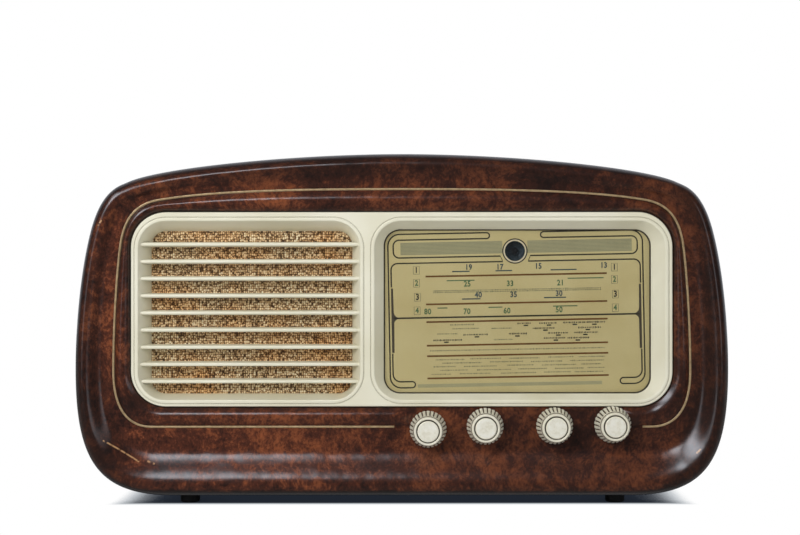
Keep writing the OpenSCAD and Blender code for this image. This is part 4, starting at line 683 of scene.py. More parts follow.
def window_ring(span, shut, r_in, end, t, grown_by, y=None):
    """A window's outline a share t of the way in, made larger by a wall."""
    return rounded((span[0] + shut[0] * t - grown_by, span[1] - shut[1] * t + grown_by),
                   (window_z[0] + shut[2] * t - grown_by, window_z[1] - shut[3] * t + grown_by),
                   window_r + (r_in - window_r) * t + grown_by,
                   face_y + (end - face_y) * t if y is None else y)


def bezel_skin():
    """The whole moulding without its louvres: rounded side, face, grooves, beads and window walls."""
    skins, front_holes, back_holes = [], [], []
    side = [(0, frame_back), (0, face_y + edge_r)]
    side += [(edge_r * (1 - math.cos(a)), face_y + edge_r * (1 - math.sin(a)))
             for a in np.radians(np.linspace(12, 90, 7))] + [(edge_r + 0.3, face_y)]
    edge = [rounded((bezel_x[0] + d, bezel_x[1] - d), (bezel_z[0] + d, bezel_z[1] - d), bezel_r - d, y)
            for d, y in side]
    for span, shut, r_in, end in windows:
        rings = [window_ring(span, shut, r_in, end, 0, bead_w + line_w + 0.25, face_y)]
        rings += [window_ring(span, shut, r_in, end, 0, bead_w + d, face_y + y) for d, y in (
            (line_w, 0), (line_w - 0.12, line_deep), (0.15, line_deep), (0.02, 0.05))]
        for s in np.linspace(0.06, 0.97, 9):
            bead_y = face_y - bead_h * math.sin(math.pi * s) ** 0.7
            rings.append(window_ring(span, shut, r_in, end, 0, bead_w * (1 - s), bead_y))
        rings += [window_ring(span, shut, r_in, end, t, 0) for t in (0.02, 0.06, 0.2, 0.4, 0.6, 0.8, 0.96)]
        back = wall_t / (end - face_y)
        rings += [window_ring(span, shut, r_in, end, 1, 0.2), window_ring(span, shut, r_in, end, 1, wall_t),
                  window_ring(span, shut, r_in, end, back, wall_t)]
        skins.append(belt(rings))
        front_holes.append(rings[0])
        back_holes.append(rings[-1])
    inner = [rounded((bezel_x[0] + wall_t, bezel_x[1] - wall_t), (bezel_z[0] + wall_t, bezel_z[1] - wall_t),
                     bezel_r - wall_t, y) for y in (face_y + wall_t, frame_back)]
    skins += [belt(edge), web([edge[-1]] + front_holes), web([inner[0]] + back_holes),
              belt(inner + [edge[0]])]
    return merged(skins)


def louvre(z, nose=1.55, back=2.3, y0=2.0, y1=17.0):
    """One louvre from wall to wall, its round nose to the front."""
    (x0, x1), shut = windows[0][:2]
    section = [(y1, back), (y0 + 5, nose + 0.35)] + [(y0 + nose - nose * math.cos(a), nose * math.sin(a))
                                                    for a in np.linspace(math.pi / 2, -math.pi / 2, 13)]
    section += [(y0 + 5, -nose - 0.35), (y1, -back)]
    share = [(y - face_y) / (cloth_y - face_y) for y, _ in section]
    return loft([[(x0 + shut[0] * s - 1.2, y, z + dz) for (y, dz), s in zip(section, share)],
                 [(x1 - shut[1] * s + 1.2, y, z + dz) for (y, dz), s in zip(section, share)]])


# Cream plastic: faint clouds of yellowing, and painted shade where two faces meet, from ambient occlusion,
# flecked like dust
cream, given, out = group("aged cream with painted corner shade", [
    ("Fresh", "Color", (0.80, 0.76, 0.63, 1)), ("Yellowed", "Color", (0.66, 0.60, 0.44, 1)),
    ("Grime", "Color", (0.10, 0.085, 0.05, 1)), ("Reach", "Float", 0.004)],
    [("Color", "Color"), ("Grimed", "Float"), ("Height", "Float")])
spot = place_in(cream)
cloud = noise(cream, spot, 14, 3)["Fac"]
fleck = noise(cream, spot, 700, 2)["Fac"]
aged = share_of(cream, cloud, 0.35, 0.75)
corner_shade = add(cream, "AmbientOcclusion", {"Distance": given["Reach"]}, samples=8).outputs["AO"]
shade_and_dust = share_of(cream, corner_shade, 0.62, 0.15)
shade_and_dust = math_of(cream, "MULTIPLY", shade_and_dust, math_of(cream, "MULTIPLY_ADD", fleck, 0.6, 0.5), clamp=True)
clean = tint(cream, aged, given["Fresh"], given["Yellowed"])
cream.links.new(tint(cream, shade_and_dust, clean, given["Grime"]), out["Color"])
cream.links.new(shade_and_dust, out["Grimed"])
cream.links.new(fleck, out["Height"])

# Bezel and louvre cream, with the group's painted shade where faces meet
cream_plastic, tree, inputs = finish("cream_plastic", Roughness=0.34)
made = use(tree, cream, Fresh=(0.88, 0.86, 0.72), Yellowed=(0.78, 0.75, 0.58), Reach=0.0035)
tree.links.new(made["Color"], inputs["Base Color"])
tree.links.new(share_of(tree, made["Grimed"], 0.0, 1.0, 0.32, 0.8), inputs["Roughness"])
tree.links.new(relief(tree, made["Height"], 0.08, 0.0002), inputs["Normal"])
bezel = piece("bezel_moulding", [bezel_skin()], cream_plastic, crease=38)
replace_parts(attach(bezel, "cabinet"), "bezel")
louvre_z, louvre_pitch = 115.1, 15.7
louvres = piece("louvres", [louvre(louvre_z + louvre_pitch * k) for k in range(9)], cream_plastic, crease=40)
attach(louvres, "cabinet")


# Baffle board.
# Six millimetre birch plywood behind the frame, with the round speaker hole and the opening for
# the dial. It clamps the grille cloth against the bezel and carries the loudspeaker.
birch = mottled("birch_board", (0.52, 0.36, 0.19), (0.30, 0.19, 0.09), 90, (0.6, 0.8), bump=0.0002,
                streak=(0.25, 1, 3))
dress(birch, "baffle_board", "chassis_rails", bevel=0.3)


# Grille cloth.
# A stretched sheet of coarse boucle, gold and tan yarns with dark gaps between their loops, glued
# over the opening with three millimetres of lap. Its loops stand a little proud of the weave.
cloth_span = ((cloth_box[0].x * 1000, cloth_box[1].x * 1000), (cloth_box[0].z * 1000, cloth_box[1].z * 1000))
corner_at = cloth_r + lap


def held_in(x, z):
    """Pulls a point of the sheet's corner in to its rounded edge."""
    (x0, x1), (z0, z1) = cloth_span
    cx, cz = min(max(x, x0 + corner_at), x1 - corner_at), min(max(z, z0 + corner_at), z1 - corner_at)
    away = math.hypot(x - cx, z - cz)
    pull = min(corner_at / away, 1) if away else 1
    return cx + (x - cx) * pull, cz + (z - cz) * pull


def cloth_skin(across=148, up=120, thick=0.75):
    """The sheet as a closed skin, its front raised in loops."""
    (x0, x1), (z0, z1) = cloth_span
    points, faces = [], []
    for side in (0, 1):
        for j in range(up + 1):
            for i in range(across + 1):
                x, z = held_in(x0 + (x1 - x0) * i / across, z0 + (z1 - z0) * j / up)
                wave = math.sin(x * 2.1 + 1.3 * math.sin(z * 0.9)) * math.sin(z * 2.4 + math.sin(x * 0.7))
                points.append((x, cloth_y + (thick if side else 0.11 * (1 - wave)), z))
    row, back = across + 1, (across + 1) * (up + 1)
    for j in range(up):
        for i in range(across):
            a = j * row + i
            front = (a, a + 1, a + row + 1, a + row)
            faces += [front, tuple(i + back for i in front)]
    rim = (list(range(across)) + [j * row + across for j in range(up)]
           + [up * row + i for i in range(across, 0, -1)] + [j * row for j in range(up, 0, -1)])
    faces += [(a, b, b + back, a + back) for a, b in zip(rim, rim[1:] + rim[:1])]
    return points, faces


boucle, tree, inputs = finish("grille_boucle", Roughness=0.9, Sheen_Weight=0.25, Sheen_Roughness=0.5)
spot = place_in(tree)
wander = noise(tree, spot, 260, 2)["Color"]
pulled = shifted(tree, spot, wander, 0.0007)
in_rows = add(tree, "VectorMath", {0: pulled, 1: (1.0, 0.0, 0.82)}, operation="MULTIPLY").outputs[0]
loops = add(tree, "TexVoronoi", {"Vector": in_rows, "Scale": 560, "Randomness": 0.5}).outputs
gleam = add(tree, "SeparateColor", {"Color": loops["Color"]}).outputs["Red"]
warmth = noise(tree, spot, 24, 3)["Fac"]
crests = math_of(tree, "MULTIPLY_ADD", loops["Distance"], -1.45, 0.81)
yarn = math_of(tree, "MULTIPLY_ADD", gleam, 0.42, crests)
shade_of = ramp(tree, yarn, [(0.02, (0.06, 0.03, 0.015)), (0.30, (0.44, 0.28, 0.14)),
                             (0.58, (0.88, 0.66, 0.39)), (0.84, (1.0, 0.97, 0.78))])
orange = share_of(tree, warmth, 0.42, 0.68, end=0.75)
tree.links.new(tint(tree, orange, shade_of, (1.0, 0.70, 0.42), "MULTIPLY"), inputs["Base Color"])
tree.links.new(relief(tree, yarn, 0.8, 0.0008), inputs["Normal"])
cloth = piece("grille_boucle_sheet", [cloth_skin()], boucle, crease=60)
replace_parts(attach(cloth, "cabinet"), "grille_cloth")


# Dial glass.
# Clear window glass three millimetres thick, held against the bezel's rear by four spring clips.
# Its rear face carries the silk screened scale, which is the next piece.
# Drawn as a faint mirror over the print: nearly clear from the front, brighter at a slant
clear_glass, tree, inputs = finish("clear_glass", Metallic=1.0, Roughness=0.03, Base_Color=(0.95, 0.97, 0.98))
slant = add(tree, "LayerWeight", {"Blend": 0.5}).outputs["Facing"]
tree.links.new(math_of(tree, "MULTIPLY_ADD", math_of(tree, "POWER", slant, 5.0), 0.7, 0.035), inputs["Alpha"])
glass_x = (glass_box[0].x * 1000, glass_box[1].x * 1000)
glass_z = (glass_box[0].z * 1000, glass_box[1].z * 1000)
pane_rings = [rounded((glass_x[0] + d, glass_x[1] - d), (glass_z[0] + d, glass_z[1] - d), 3 - d, y, 6)
              for d, y in ((0.3, glass_y), (0, glass_y + 0.3), (0, glass_back - 0.3), (0.3, glass_back))]
pane = piece("glass_pane", [loft(pane_rings)], clear_glass, crease=30)
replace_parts(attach(pane, "cabinet"), "dial_glass")


# Printed scale.
# Enamel inks on the back of the glass: a sand coloured ground with clear red lines, dark outlines,
# grey-green bars, and blue and green numbers. It was screened a degree out of level.
scale_at, scale_tilt = (106.3, 178.8), math.radians(1.08)
line_v, line_u = (33.8, 8.1, -8.2, -30.0, -39.7, -60.2), (-83.9, 83.1)
eye_uv, eye_hole, ink_at, ink_thick = (-1.1, 55.8), 9.3, 0.004, 0.006
rim_u, rule_v = (-118.2, 116.7), -4.2


def on_scale(u, v):
    """The place on the drawing of a place on the tilted scale."""
    c, s = math.cos(scale_tilt), math.sin(scale_tilt)
    return scale_at[0] + u * c - v * s, scale_at[1] + u * s + v * c


def layer(loop, depth=ink_at, thick=ink_thick):
    """A printed patch: its outline on the scale, and its depth behind the glass."""
    flat = [on_scale(*p) for p in loop]
    return loft([[(x, glass_back + y, z) for x, z in flat] for y in (depth, depth + thick)])


def bar(u0, u1, v, h):
    """An upright rectangle on the scale, v its middle height."""
    return [(u0, v - h / 2), (u1, v - h / 2), (u1, v + h / 2), (u0, v + h / 2)]


def stroke(points, width):
    """A drawn line of one width along points on the scale."""
    route = np.array(points, float)
    along = np.gradient(route, axis=0)
    along /= np.linalg.norm(along, axis=1)[:, None]
    side = np.stack([-along[:, 1], along[:, 0]], 1) * width / 2
    rings = []
    for p, s in zip(route, side):
        a, b = on_scale(*(p + s)), on_scale(*(p - s))
        rings.append([(q[0], glass_back + y, q[1]) for q, y in (
            (a, ink_at), (b, ink_at), (b, ink_at + ink_thick), (a, ink_at + ink_thick))])
    return loft(rings)


def turn(u, v, r, a0, a1, n=8):
    """Points along an arc between two angles in degrees."""
    return [(u + r * math.cos(a), v + r * math.sin(a)) for a in np.radians(np.linspace(a0, a1, n + 1))]


def arc_band(centre, r0, r1, depth=ink_at, n=64):
    """A printed ring between two radii."""
    rings = []
    for a in np.arange(n) * 2 * math.pi / n:
        pair = [on_scale(centre[0] + r * math.cos(a), centre[1] + r * math.sin(a)) for r in (r0, r1)]
        rings.append([(pair[k][0], glass_back + y, pair[k][1]) for k, y in (
            (0, depth), (1, depth), (1, depth + ink_thick), (0, depth + ink_thick))])
    return loft(rings, closed=True)


def ground_skin():
    """The sand ground, with clear slots for the red lines and a round hole for the indicator."""
    edge = rounded((glass_x[0] + 0.6, glass_x[1] - 0.6), (glass_z[0] + 0.6, glass_z[1] - 0.6), 2.4, 0, 6)
    holes = [[on_scale(*p) for p in reversed(bar(line_u[0], line_u[1], v, 1.0))] for v in line_v]
    holes.append([on_scale(*p) for p in reversed(turn(*eye_uv, eye_hole, 0, 352.5, 47))])
    loops = [[(x, z) for x, _, z in edge]] + holes
    faces_at = (0.03, 0.12)
    skins = [web([[(x, glass_back + y, z) for x, z in loop] for loop in loops]) for y in faces_at]
    skins += [belt([[(x, glass_back + y, z) for x, z in loop] for y in faces_at]) for loop in loops]
    return merged(skins)


def mirrored(points):
    """The same line on the scale's right half."""
    return [(rim_u[0] + rim_u[1] - u, v) for u, v in points]


def scale_outlines():
    """Dark outlines: the ribbon round the scale, the bars' frames and the panel, on both halves."""
    ribbon = ([(-26.5, 67.8)] + turn(-27, 70.5, 2.7, -90, 90)[1:] + turn(-107.2, 62.2, 11, 90, 180)
              + turn(-108.2, -58.4, 10, 180, 270) + turn(-98, -65.6, 2.8, -90, 90)
              + turn(-108.6, -55.8, 7, 270, 180) + [(-115.6, -36.6)])
    panel_edge = ([(-26.5, 67.8), (-107.8, 67.8)] + turn(-107.8, 62.3, 5.5, 90, 180)[1:]
                  + turn(-107.8, 56.9, 5.5, 180, 270) + [(-14.6, 51.4), (-12.4, 46.3), (-109.7, 46.3)]
                  + turn(-109.7, 40.3, 6, 90, 180)[1:] + [(-115.7, 24.4)])
    skins = []
    for line in (ribbon, panel_edge):
        skins += [stroke(line, 1.3), stroke(list(reversed(mirrored(line))), 1.3)]
    skins.append(stroke([(-114, rule_v), (113, rule_v)], 1.5))
    return skins


def scale_stripes():
    """The heavier side stripes and the wedges where the middle rule meets them."""
    skins = []
    for flip in (lambda p: p, mirrored):
        for v0, v1 in ((23.4, rule_v), (rule_v, -35.9)):
            inner = -114.2 if v0 > 0 else -113.6
            skins.append(layer(flip([(-116.1, v0), (inner, v0), (-113.8, v1), (-116.1, v1)]), 0.012))
        for s in (1, -1):
            hollow = [(-114 + 5.5 * (1 - math.cos(a)), rule_v + s * (6 - 5.6 * math.sin(a)))
                      for a in np.radians([30, 55, 75, 90])]
            skins.append(layer(flip([(-114, rule_v + s * 6)] + hollow + [(-114, rule_v)]), 0.020))
    return skins


def number_box(u, v):
    """The thin square line round a wave band's number."""
    return stroke([(u - 2.8, v - 3.6), (u + 2.8, v - 3.6), (u + 2.8, v + 3.6), (u - 2.8, v + 3.6),
                   (u - 2.8, v - 3.55)], 0.5)


def ticks(u0, u1, v, seed, h=1.8):
    """A run of fine upright ticks of uneven widths across the scale."""
    rng = np.random.default_rng(seed)
    marks, u = [], u0
    while u < u1:
        width = rng.uniform(0.5, 1.1)
        marks.append(layer(bar(u, u + width, v, h * rng.uniform(0.6, 1.0))))
        u += width + rng.uniform(0.4, 0.9)
    return marks


def numbers(name, finish_of, entries):
    """Plain figures as thin meshes: text, place of its middle on the scale, height in millimetres."""
    body = bmesh.new()
    for text, u, v, high in entries:
        curve = bpy.data.curves.new("figures", "FONT")
        curve.body, curve.size, curve.align_x, curve.align_y = text, high / 0.70, "CENTER", "CENTER"
        curve.resolution_u, curve.space_character, curve.offset = 3, 1.08, 0.035 * curve.size
        holder = bpy.data.objects.new("figures", curve)
        bpy.context.scene.collection.objects.link(holder)
        flat = bpy.data.meshes.new_from_object(holder.evaluated_get(bpy.context.evaluated_depsgraph_get()))
        points = [on_scale(u + p.co.x * 0.86, v + p.co.y) for p in flat.vertices]
        for face in flat.polygons:
            corners = [points[i] for i in face.vertices]
            solid, sides_of = loft([[(x, glass_back + y, z) for x, z in corners] for y in (0.002, 0.010)])
            fresh = [body.verts.new((x / 1000, y / 1000 + y_zero, z / 1000)) for x, y, z in solid]
            for side in sides_of:
                body.faces.new([fresh[i] for i in side])
        bpy.data.objects.remove(holder)
        bpy.data.meshes.remove(flat)
    bmesh.ops.recalc_face_normals(body, faces=body.faces)
    mesh = bpy.data.meshes.new(name)
    body.to_mesh(mesh)
    body.free()
    mesh.materials.append(finish_of)
    made = bpy.data.objects.new(name, mesh)
    bpy.context.scene.collection.objects.link(made)
    return made


def ink(name, light, dark, scale=140, alpha=1.0):
    """A printing ink, slightly uneven in tone."""
    return mottled(name, light, dark, scale, (0.4, 0.55), spread=0.6, Alpha=alpha)


sand = ink("sand_enamel", (0.585, 0.51, 0.265), (0.50, 0.415, 0.19), 14)
outline_ink = ink("outline_ink", (0.045, 0.040, 0.025), (0.025, 0.022, 0.015))
stripe_ink = ink("stripe_ink", (0.085, 0.070, 0.048), (0.06, 0.05, 0.035))
bar_ink = ink("grey_green_ink", (0.39, 0.37, 0.21), (0.34, 0.32, 0.18), 60)
hatch_ink = ink("hatch_ink", (0.27, 0.26, 0.155), (0.22, 0.215, 0.13), 60)
red_ink = ink("red_line_ink", (0.19, 0.080, 0.018), (0.13, 0.055, 0.014), 120, 0.88)
blue_ink = ink("blue_ink", (0.060, 0.088, 0.095), (0.035, 0.058, 0.070))
green_ink = ink("green_ink", (0.115, 0.195, 0.090), (0.070, 0.130, 0.055))
black_ink = ink("black_ink", (0.03, 0.032, 0.028), (0.015, 0.016, 0.014))
pale_ink = ink("faint_ink", (0.20, 0.205, 0.11), (0.12, 0.13, 0.065))
light_ink = ink("light_ring_ink", (0.66, 0.60, 0.42), (0.56, 0.50, 0.34))
printed = [
    piece("scale_ground", [ground_skin()], sand, crease=30),
    piece("scale_outlines", scale_outlines() + [arc_band(eye_uv, 10.6, 11.7)], outline_ink),
    # A dark band printed round the window's edge: painted shadow of the gap between bezel and glass
    piece("scale_edge_gap_shadow", [loft([window_ring(*windows[1], 1, -d, glass_back + y) for d, y in (
        (-0.6, 0.002), (0.9, 0.002), (0.9, 0.008), (-0.6, 0.008))], closed=True)], stripe_ink),
    piece("scale_number_boxes", [number_box(u, v) for u, v in (
        (-92.4, 39.8), (-92.4, 27.8), (-91.8, 14.9), (-92.3, 2.4),
        (90.3, 39.2), (90.2, 27.9), (90.8, 14.3), (90.5, 1.7))], pale_ink),
    piece("scale_stripes", scale_stripes(), stripe_ink),
    piece("scale_light_ring", [arc_band(eye_uv, 9.3, 10.7, 0.008)], light_ink),
    piece("scale_bars", [layer(bar(u0, u1, v, h), 0.022) for u0, u1, v, h in (
        (-106.7, -12.6, 59.6, 11.6), (10.4, 106.8, 59.6, 11.6), (-93, 77, -67.0, 3.2))], bar_ink),
    piece("scale_hatching", [layer(bar(u0, u1, 54.6 + 1.25 * k, 0.45), 0.014)
                             for u0, u1 in ((-106.5, -12.8), (10.6, 106.6)) for k in range(9)], hatch_ink),
    piece("scale_red_lines", [layer(bar(line_u[0] - 0.1, line_u[1] + 0.1, v, 1.6), thick=0.02)
                              for v in line_v], red_ink),
    piece("scale_blue_bars", [layer(bar(u0, u1, v, 1.1)) for u0, u1, v in (
        (-59.4, -43.2, 37.9), (-19.4, -4.0, 37.9), (31.5, 55.5, 37.8), (-50.7, -33.7, 12.4),
        (24.9, 45.2, 12.3))], blue_ink),
    piece("scale_green_bars", [layer(bar(u0, u1, v, 1.0)) for u0, u1, v in (
        (-64.6, -38.8, 29.6), (47, 80.2, 29.7), (-73.5, -64.3, 4.5), (-26.5, -13.6, 4.3),
        (33, 55.6, 4.3))], green_ink),
    piece("scale_marks", [layer(bar(u - 2.1, u + 2.1, v, 1.2)) for u, v in (
        (-65.9, -27.1), (-37.7, -22.7), (-0.3, -22.6), (7.7, -13.0), (29, -13.1), (25.6, -17.7),
        (52.9, -12.9), (70.9, -13.1), (64.8, -17.9), (62.4, -22.4), (37.5, -22.5), (35.1, -27.1),
        (55.4, -27.4))], black_ink),
    piece("scale_fine_marks", [mark for k, (u0, u1, v) in enumerate((
        (-78, -52, -25.2), (-50, -28, -20.6), (-8, 8, -20.4), (0, 12, -11.0), (20, 36, -11.2),
        (14, 34, -15.8), (42, 62, -11.0), (60, 80, -11.0), (56, 76, -15.9), (52, 74, -20.4),
        (28, 46, -20.4), (24, 44, -25.0), (46, 66, -25.2))) for mark in ticks(u0, u1, v, 20 + k)], black_ink),
    piece("scale_faint_marks", [mark for k, (u0, u1, v) in enumerate((
        (-77, 77, 20.4), (-77, 77, 18.9), (-60, -36, -14.8), (-74, -56, -19.4), (-24, -6, -15.2),
        (-22, -4, -25.6), (-62, -40, -11.2), (-76, -50, -43.2), (-44, -16, -42.8), (-8, 20, -43.0),
        (28, 50, -42.6), (56, 80, -42.8), (-70, -34, -46.4), (-26, 4, -46.0), (12, 40, -46.4),
        (48, 78, -46.2), (-78, -58, -49.6), (-50, -20, -49.8), (-10, 14, -49.4), (22, 52, -49.8),
        (58, 76, -49.6), (-72, -46, -53.0), (-38, -8, -53.2), (0, 26, -53.0), (34, 60, -53.2),
        (64, 80, -53.0), (-80, -62, -56.6), (-54, -26, -56.4), (-16, 16, -56.6), (24, 48, -56.4),
        (52, 78, -56.6), (-81, 80, -34.8))) for mark in ticks(u0, u1, v, 60 + k, 1.3)], pale_ink),
    numbers("scale_blue_numbers", blue_ink, [
        ("19", -44.1, 41.5, 5.0), ("17", -15.3, 41.2, 5.0), ("15", 20.2, 41.3, 5.0), ("13", 80.6, 41.0, 5.0),
        ("40", -35.6, 15.9, 5.0), ("35", -3.1, 15.6, 5.0), ("30", 38.8, 15.8, 5.0)]),
    numbers("scale_green_numbers", green_ink, [
        ("25", -45.6, 26.2, 5.0), ("33", -6.1, 25.8, 5.0), ("21", 40.4, 25.6, 5.0), ("80", -82.6, 1.3, 5.0),
        ("70", -46.4, 0.8, 5.0), ("60", -9.5, 0.7, 5.0), ("50", 38.6, 0.8, 5.0), ("4", -92.3, 2.4, 5.0),
        ("2", -92.4, 27.8, 5.0), ("2", 90.2, 27.9, 5.0), ("4", 90.5, 1.7, 5.0)]),
    numbers("scale_black_numbers", black_ink, [
        ("1", -92.4, 39.8, 5.0), ("3", -91.8, 14.9, 5.4), ("1", 90.3, 39.2, 5.0), ("3", 90.8, 14.3, 5.4)]),
]
for item in printed:
    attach(item, "cabinet")


# Dial hardware.
# Behind the glass: a plate of cream painted steel that the needle travels over, four spring clips,
# the rail, two festoon lamps in tin holders, and the braided drive cord on its two brass pulleys.
plate_paint = mottled("plate_paint", (0.50, 0.44, 0.30), (0.42, 0.37, 0.24), 60, (0.5, 0.65), bump=0.0001)
needle_paint = mottled("needle_paint", (0.30, 0.045, 0.025), (0.20, 0.03, 0.018), 300, (0.35, 0.5))
braid = mottled("drive_cord_braid", (0.34, 0.29, 0.17), (0.12, 0.10, 0.055), 1500, (0.8, 0.95), bump=0.0003,
                spread=1.6)
bulb, tree, inputs = finish("bulb_glass", Roughness=0.06, Base_Color=(0.80, 0.84, 0.82), Coat_Weight=0.6)
rim_of = add(tree, "LayerWeight", {"Blend": 0.4}).outputs["Facing"]
tree.links.new(share_of(tree, rim_of, 0.0, 1.0, 0.30, 0.85), inputs["Alpha"])
dress(plate_paint, "dial_backplate", bevel=0.15)
dress(zinc, "dial_clips", "pointer_rail", "lamp_holders", "eye_bracket")
dress(needle_paint, "pointer")
dress(braid, "drive_cord")
dress(bulb, "dial_lamps")
dress(brass, "pulley_left", "pulley_right")


# Tuning indicator.
# A glass indicator valve pushed into a tin ring: a domed bulb, and inside it a funnel with a dull
# coating on its wall and a small black cap over the middle. It looks out of the hole in the scale.
eye_low, eye_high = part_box("magic_eye")
eye_centre, eye_r = ((eye_low.x + eye_high.x) * 500, (eye_low.z + eye_high.z) * 500), 13.5
eye_front, eye_back = (eye_low.y - y_zero) * 1000, (eye_high.y - y_zero) * 1000


def turned(profile, start, n=48):
    """A closed skin turned round the valve's level axis; the profile runs as radius and depth from start."""
    return loft([ring(eye_centre, r, start + depth, n) for r, depth in profile])


eye_glass, tree, inputs = finish("indicator_glass", Base_Color=(0.75, 0.80, 0.85), Metallic=0.9,
                                 Roughness=0.05)
rim_of = add(tree, "LayerWeight", {"Blend": 0.3}).outputs["Facing"]
tree.links.new(share_of(tree, rim_of, 0.0, 1.0, 0.10, 0.75), inputs["Alpha"])
target_wall = mottled("target_coating", (0.040, 0.060, 0.072), (0.020, 0.030, 0.040), 260, (0.5, 0.7))
cap_black = mottled("cap_black", (0.012, 0.012, 0.014), (0.006, 0.006, 0.007), 300, (0.3, 0.5))
bakelite = mottled("bakelite", (0.055, 0.028, 0.018), (0.025, 0.014, 0.010), 90, (0.22, 0.4), bump=0.0001)
to_base = eye_back - eye_front
dome = [(eye_r - 4 + 4 * math.sin(a), 3.2 * (1 - math.cos(a))) for a in np.radians(np.linspace(0, 90, 9))]
bulb_profile = [(0.4, 0)] + dome + [(eye_r, to_base - 15), (eye_r - 1, to_base - 14.2), (0.4, to_base - 14.2)]
funnel = [(0.4, 7.5), (3.0, 7.4), (9.6, 3.4), (10.6, 3.0), (11.2, 3.6), (11.2, 9), (0.4, 9)]
cap = [(0.3, 2.6), (2.6, 2.7), (3.1, 3.1), (3.1, 3.6), (0.9, 3.9), (0.8, 7.8), (0.3, 7.8)]
base = [(0.4, -14), (eye_r - 0.2, -14), (eye_r + 0.7, -13.2), (eye_r + 0.7, -1), (eye_r - 0.2, 0), (9, 0),
        (8.6, -0.8), (0.4, -0.8)]
indicator = [
    piece("indicator_bulb", [turned(bulb_profile, eye_front)], eye_glass, crease=35),
    piece("indicator_funnel", [turned(funnel, eye_front)], target_wall, crease=35),
    piece("indicator_cap", [turned(cap, eye_front, 32)], cap_black, crease=35),
    piece("indicator_base", [turned(base, eye_back)], bakelite, crease=35)]
for item in indicator:
    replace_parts(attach(item, "cabinet"), "magic_eye")


# Knobs.
# Four moulded cream knobs pushed on six millimetre shafts: a skirt with twenty-six fine flutes, a
# smooth rounded ring and a flat pearly button. The flutes and the two grooves are darker: dirt, with painted
# shade in these recesses.
knob_gap, bore_r, bore_deep, flutes, flute_cols = 3.5, 3.1, 17, 26, 12
# Radius and height over the back of the skirt, from the bore round the outside to the button
knob_profile = (
    [(bore_r, bore_deep), (bore_r, 0.3), (bore_r + 0.3, 0), (16.3, 0), (16.7, 0.25), (16.8, 0.8),
     (16.75, 1.5), (16.3, 3.4), (15.7, 6.2), (15.1, 8.8), (14.6, 11), (14.3, 13), (14.0, 15), (13.8, 16.6),
     (13.65, 17.8), (13.45, 18.5), (13.2, 18.85), (13.0, 18.7), (12.98, 19.4)]
    + [(11.6 + 1.4 * math.cos(a), 20.6 + 2.6 * math.sin(a)) for a in np.radians(np.linspace(0, 180, 15))]
    + [(10.15, 19.2), (9.75, 19.1), (9.6, 19.4), (9.6, 22.9), (9.45, 23.5), (9.1, 23.85), (8.6, 24),
       (7.9, 23.98), (5, 23.85), (1, 23.7)])


def fluted(centre):
    """A knob's rings from its bore round the back and skirt to the button."""
    cols = flutes * flute_cols
    turn_of = np.arange(cols) * 2 * math.pi / cols
    notch = np.clip(1.35 * np.cos(np.arange(cols) % flute_cols * 2 * math.pi / flute_cols) - 0.35, 0, 1)
    rings = []
    for i, (r, h) in enumerate(knob_profile):
        deep = 0.95 * float(smooth((17.2 - h) / 4.0)) * (3 < i < 17) + 0.25 * (i == 3)
        rings.append([(centre[0] + far * math.cos(a), -knob_gap - h, centre[1] + far * math.sin(a))
                      for a, far in zip(turn_of, r - deep * notch)])
    return loft(rings)


def knob_finish(x, z, h):
    """Which finish a place on a knob has: 0 cream, 1 dirt and painted shade in the flutes and grooves, 2
    pearly button.
    """
    away = math.hypot(x, z)
    step = math.atan2(z, x) * flutes / (2 * math.pi) % 1
    in_flute = 1.2 < h < 15.6 and (step < 0.13 or step > 0.87)
    in_groove = (9.55 < away < 10.2 and 18.5 < h < 22.0) or (12.9 < away < 13.5 and 18.2 < h < 19.5)
    if in_flute or in_groove:
        return 1
    return 2 if away < 8.7 and h > 23.5 else 0


# Knob cream, with the group's painted shade where faces meet
knob_cream, tree, inputs = finish("knob_cream", Roughness=0.3)
made = use(tree, cream, Fresh=(0.90, 0.875, 0.76), Yellowed=(0.78, 0.74, 0.59), Grime=(0.05, 0.032, 0.02),
           Reach=0.0022)
tree.links.new(made["Color"], inputs["Base Color"])
tree.links.new(share_of(tree, made["Grimed"], 0.0, 1.0, 0.28, 0.8), inputs["Roughness"])
tree.links.new(relief(tree, made["Height"], 0.06, 0.0002), inputs["Normal"])
flute_dirt_and_shade = mottled("flute_dirt_and_shade", (0.13, 0.085, 0.05), (0.045, 0.03, 0.02), 900, (0.7, 0.9))
pearl = mottled("pearl_button", (0.93, 0.93, 0.86), (0.74, 0.71, 0.58), 150, (0.20, 0.40), spread=0.7,
                bump=0.0002)
for name, centre in zip(("tone", "volume", "tuning", "band"), knob_at):
    knob = piece(name + "_knob_fluted", [fluted(centre)], knob_cream, flute_dirt_and_shade, pearl, crease=40)
    for face in knob.data.polygons:
        x, y, z = face.center * 1000
        face.material_index = knob_finish(x - centre[0], z - centre[1], y_zero * 1000 - y - knob_gap)
    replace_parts(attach(knob, name), name + "_knob")


# Controls.
# Cadmium plated potentiometers and a wafer switch behind the front wall of the chassis, on brass
# nuts and bushes, with steel shafts that the knobs sit on.
resin_board = mottled("resin_board", (0.17, 0.085, 0.04), (0.09, 0.045, 0.022), 120, (0.4, 0.6), bump=0.0001,
                      streak=(1, 3, 0.4))
dress(zinc, "tone_shaft", "volume_shaft", "tuning_shaft", "band_shaft")
dress(brass, "control_nuts", "tuning_bush")
dress(resin_board, "band_switch")


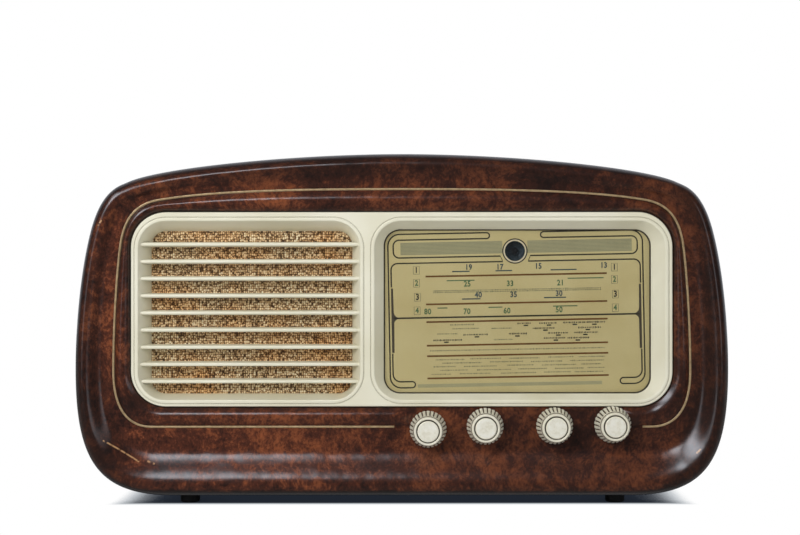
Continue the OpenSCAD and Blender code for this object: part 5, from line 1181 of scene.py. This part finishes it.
# Chassis and its iron.
# One tray of folded and plated steel on two beech rails, with the transformers' lacquered cores,
# the aluminium coil cans and the bolts that hold them.
plated = mottled("plated_sheet", (0.60, 0.59, 0.52), (0.40, 0.39, 0.33), 45, (0.32, 0.6), metal=1.0,
                 bump=0.0001)
alloy = mottled("spun_alloy", (0.76, 0.76, 0.75), (0.55, 0.55, 0.55), 80, (0.28, 0.5), metal=1.0,
                streak=(1, 1, 0.15))
dark_iron = mottled("lacquered_iron", (0.055, 0.05, 0.05), (0.02, 0.018, 0.018), 150, (0.35, 0.6),
                    bump=0.0001, streak=(1, 1, 6))
dress(plated, "chassis", bevel=0.25)
dress(zinc, "chassis_bolts", "machine_screws", "tone_pot", "volume_pot")
dress(dark_iron, "power_transformer", "output_transformer", bevel=0.4)
dress(alloy, "if_cans", "electrolytic_can", bevel=0.4)


# Valves.
# Small glass valves in resin sockets: the silvered getter shows in the dome, the grey electrodes
# through the glass below it, and the pins at the foot.
dress(resin_board, "valve_sockets")
valve_glass, tree, inputs = finish("valve_glass", Roughness=0.05, Coat_Weight=0.8, Coat_Roughness=0.04,
                                   Metallic=0.25)
up_it = add(tree, "SeparateXYZ", {0: add(tree, "TexCoord").outputs["Generated"]}).outputs["Z"]
drawn_up = add(tree, "VectorMath", {0: place_in(tree), 1: (420, 420, 25)}, operation="MULTIPLY").outputs[0]
plates = noise(tree, drawn_up, 1.0, 3)["Fac"]
inside = tint(tree, plates, (0.012, 0.013, 0.014), (0.16, 0.16, 0.16))
silvered = ramp(tree, math_of(tree, "MULTIPLY_ADD", plates, 0.08, up_it), [
    (0.10, (0, 0, 0)), (0.14, (0.25, 0.25, 0.25)), (0.70, (0.05, 0.05, 0.05)), (0.86, (1, 1, 1))])
tree.links.new(tint(tree, silvered, inside, (0.62, 0.63, 0.65)), inputs["Base Color"])
dress(valve_glass, "signal_valves", "output_valve", "rectifier_valve")


# Tuning gang and its drive.
# An open aluminium frame of fixed and moving vanes on a steel bracket, turned by a spun drum that
# the cord runs round.
dress(zinc, "gang_bracket")
dress(alloy, "gang_frame", "gang_rotor")
dress(alloy, "drive_drum", bevel=0.2)


# Loudspeaker.
# A pressed basket painted black, a cone of black pressed paper with a corrugated edge, and a
# grey painted magnet pot, on four bolts through the baffle board.
black_paint = mottled("basket_paint", (0.030, 0.030, 0.032), (0.016, 0.016, 0.017), 120, (0.35, 0.55),
                      bump=0.0001)
pot_paint = mottled("pot_paint", (0.10, 0.105, 0.115), (0.06, 0.062, 0.07), 90, (0.4, 0.6), bump=0.0002)
cone_paper = mottled("cone_paper", (0.030, 0.027, 0.024), (0.014, 0.013, 0.012), 700, (0.8, 0.95),
                     bump=0.0005, spread=1.4)
dress(black_paint, "speaker_basket")
dress(pot_paint, "speaker_magnet", bevel=0.4)
dress(zinc, "speaker_bolts")
dress(cone_paper, "speaker_cone")


# Rear fittings.
# Aerial, gramophone and loudspeaker sockets of brass in resin board, a rubber grommet for the mains
# lead, and a voltage dial of white plastic in a black holder.
black_plastic = mottled("black_plastic", (0.022, 0.022, 0.023), (0.012, 0.012, 0.012), 200, (0.25, 0.4),
                        bump=0.0001)
white_plastic = mottled("white_plastic", (0.62, 0.60, 0.53), (0.52, 0.50, 0.43), 70, (0.3, 0.45))
dress(resin_board, "socket_plates", bevel=0.15)
dress(brass, "socket_bushes")
dress(rubber, "cord_grommet")
dress(black_plastic, "voltage_selector", bevel=0.2)
dress(white_plastic, "voltage_dial", bevel=0.15)
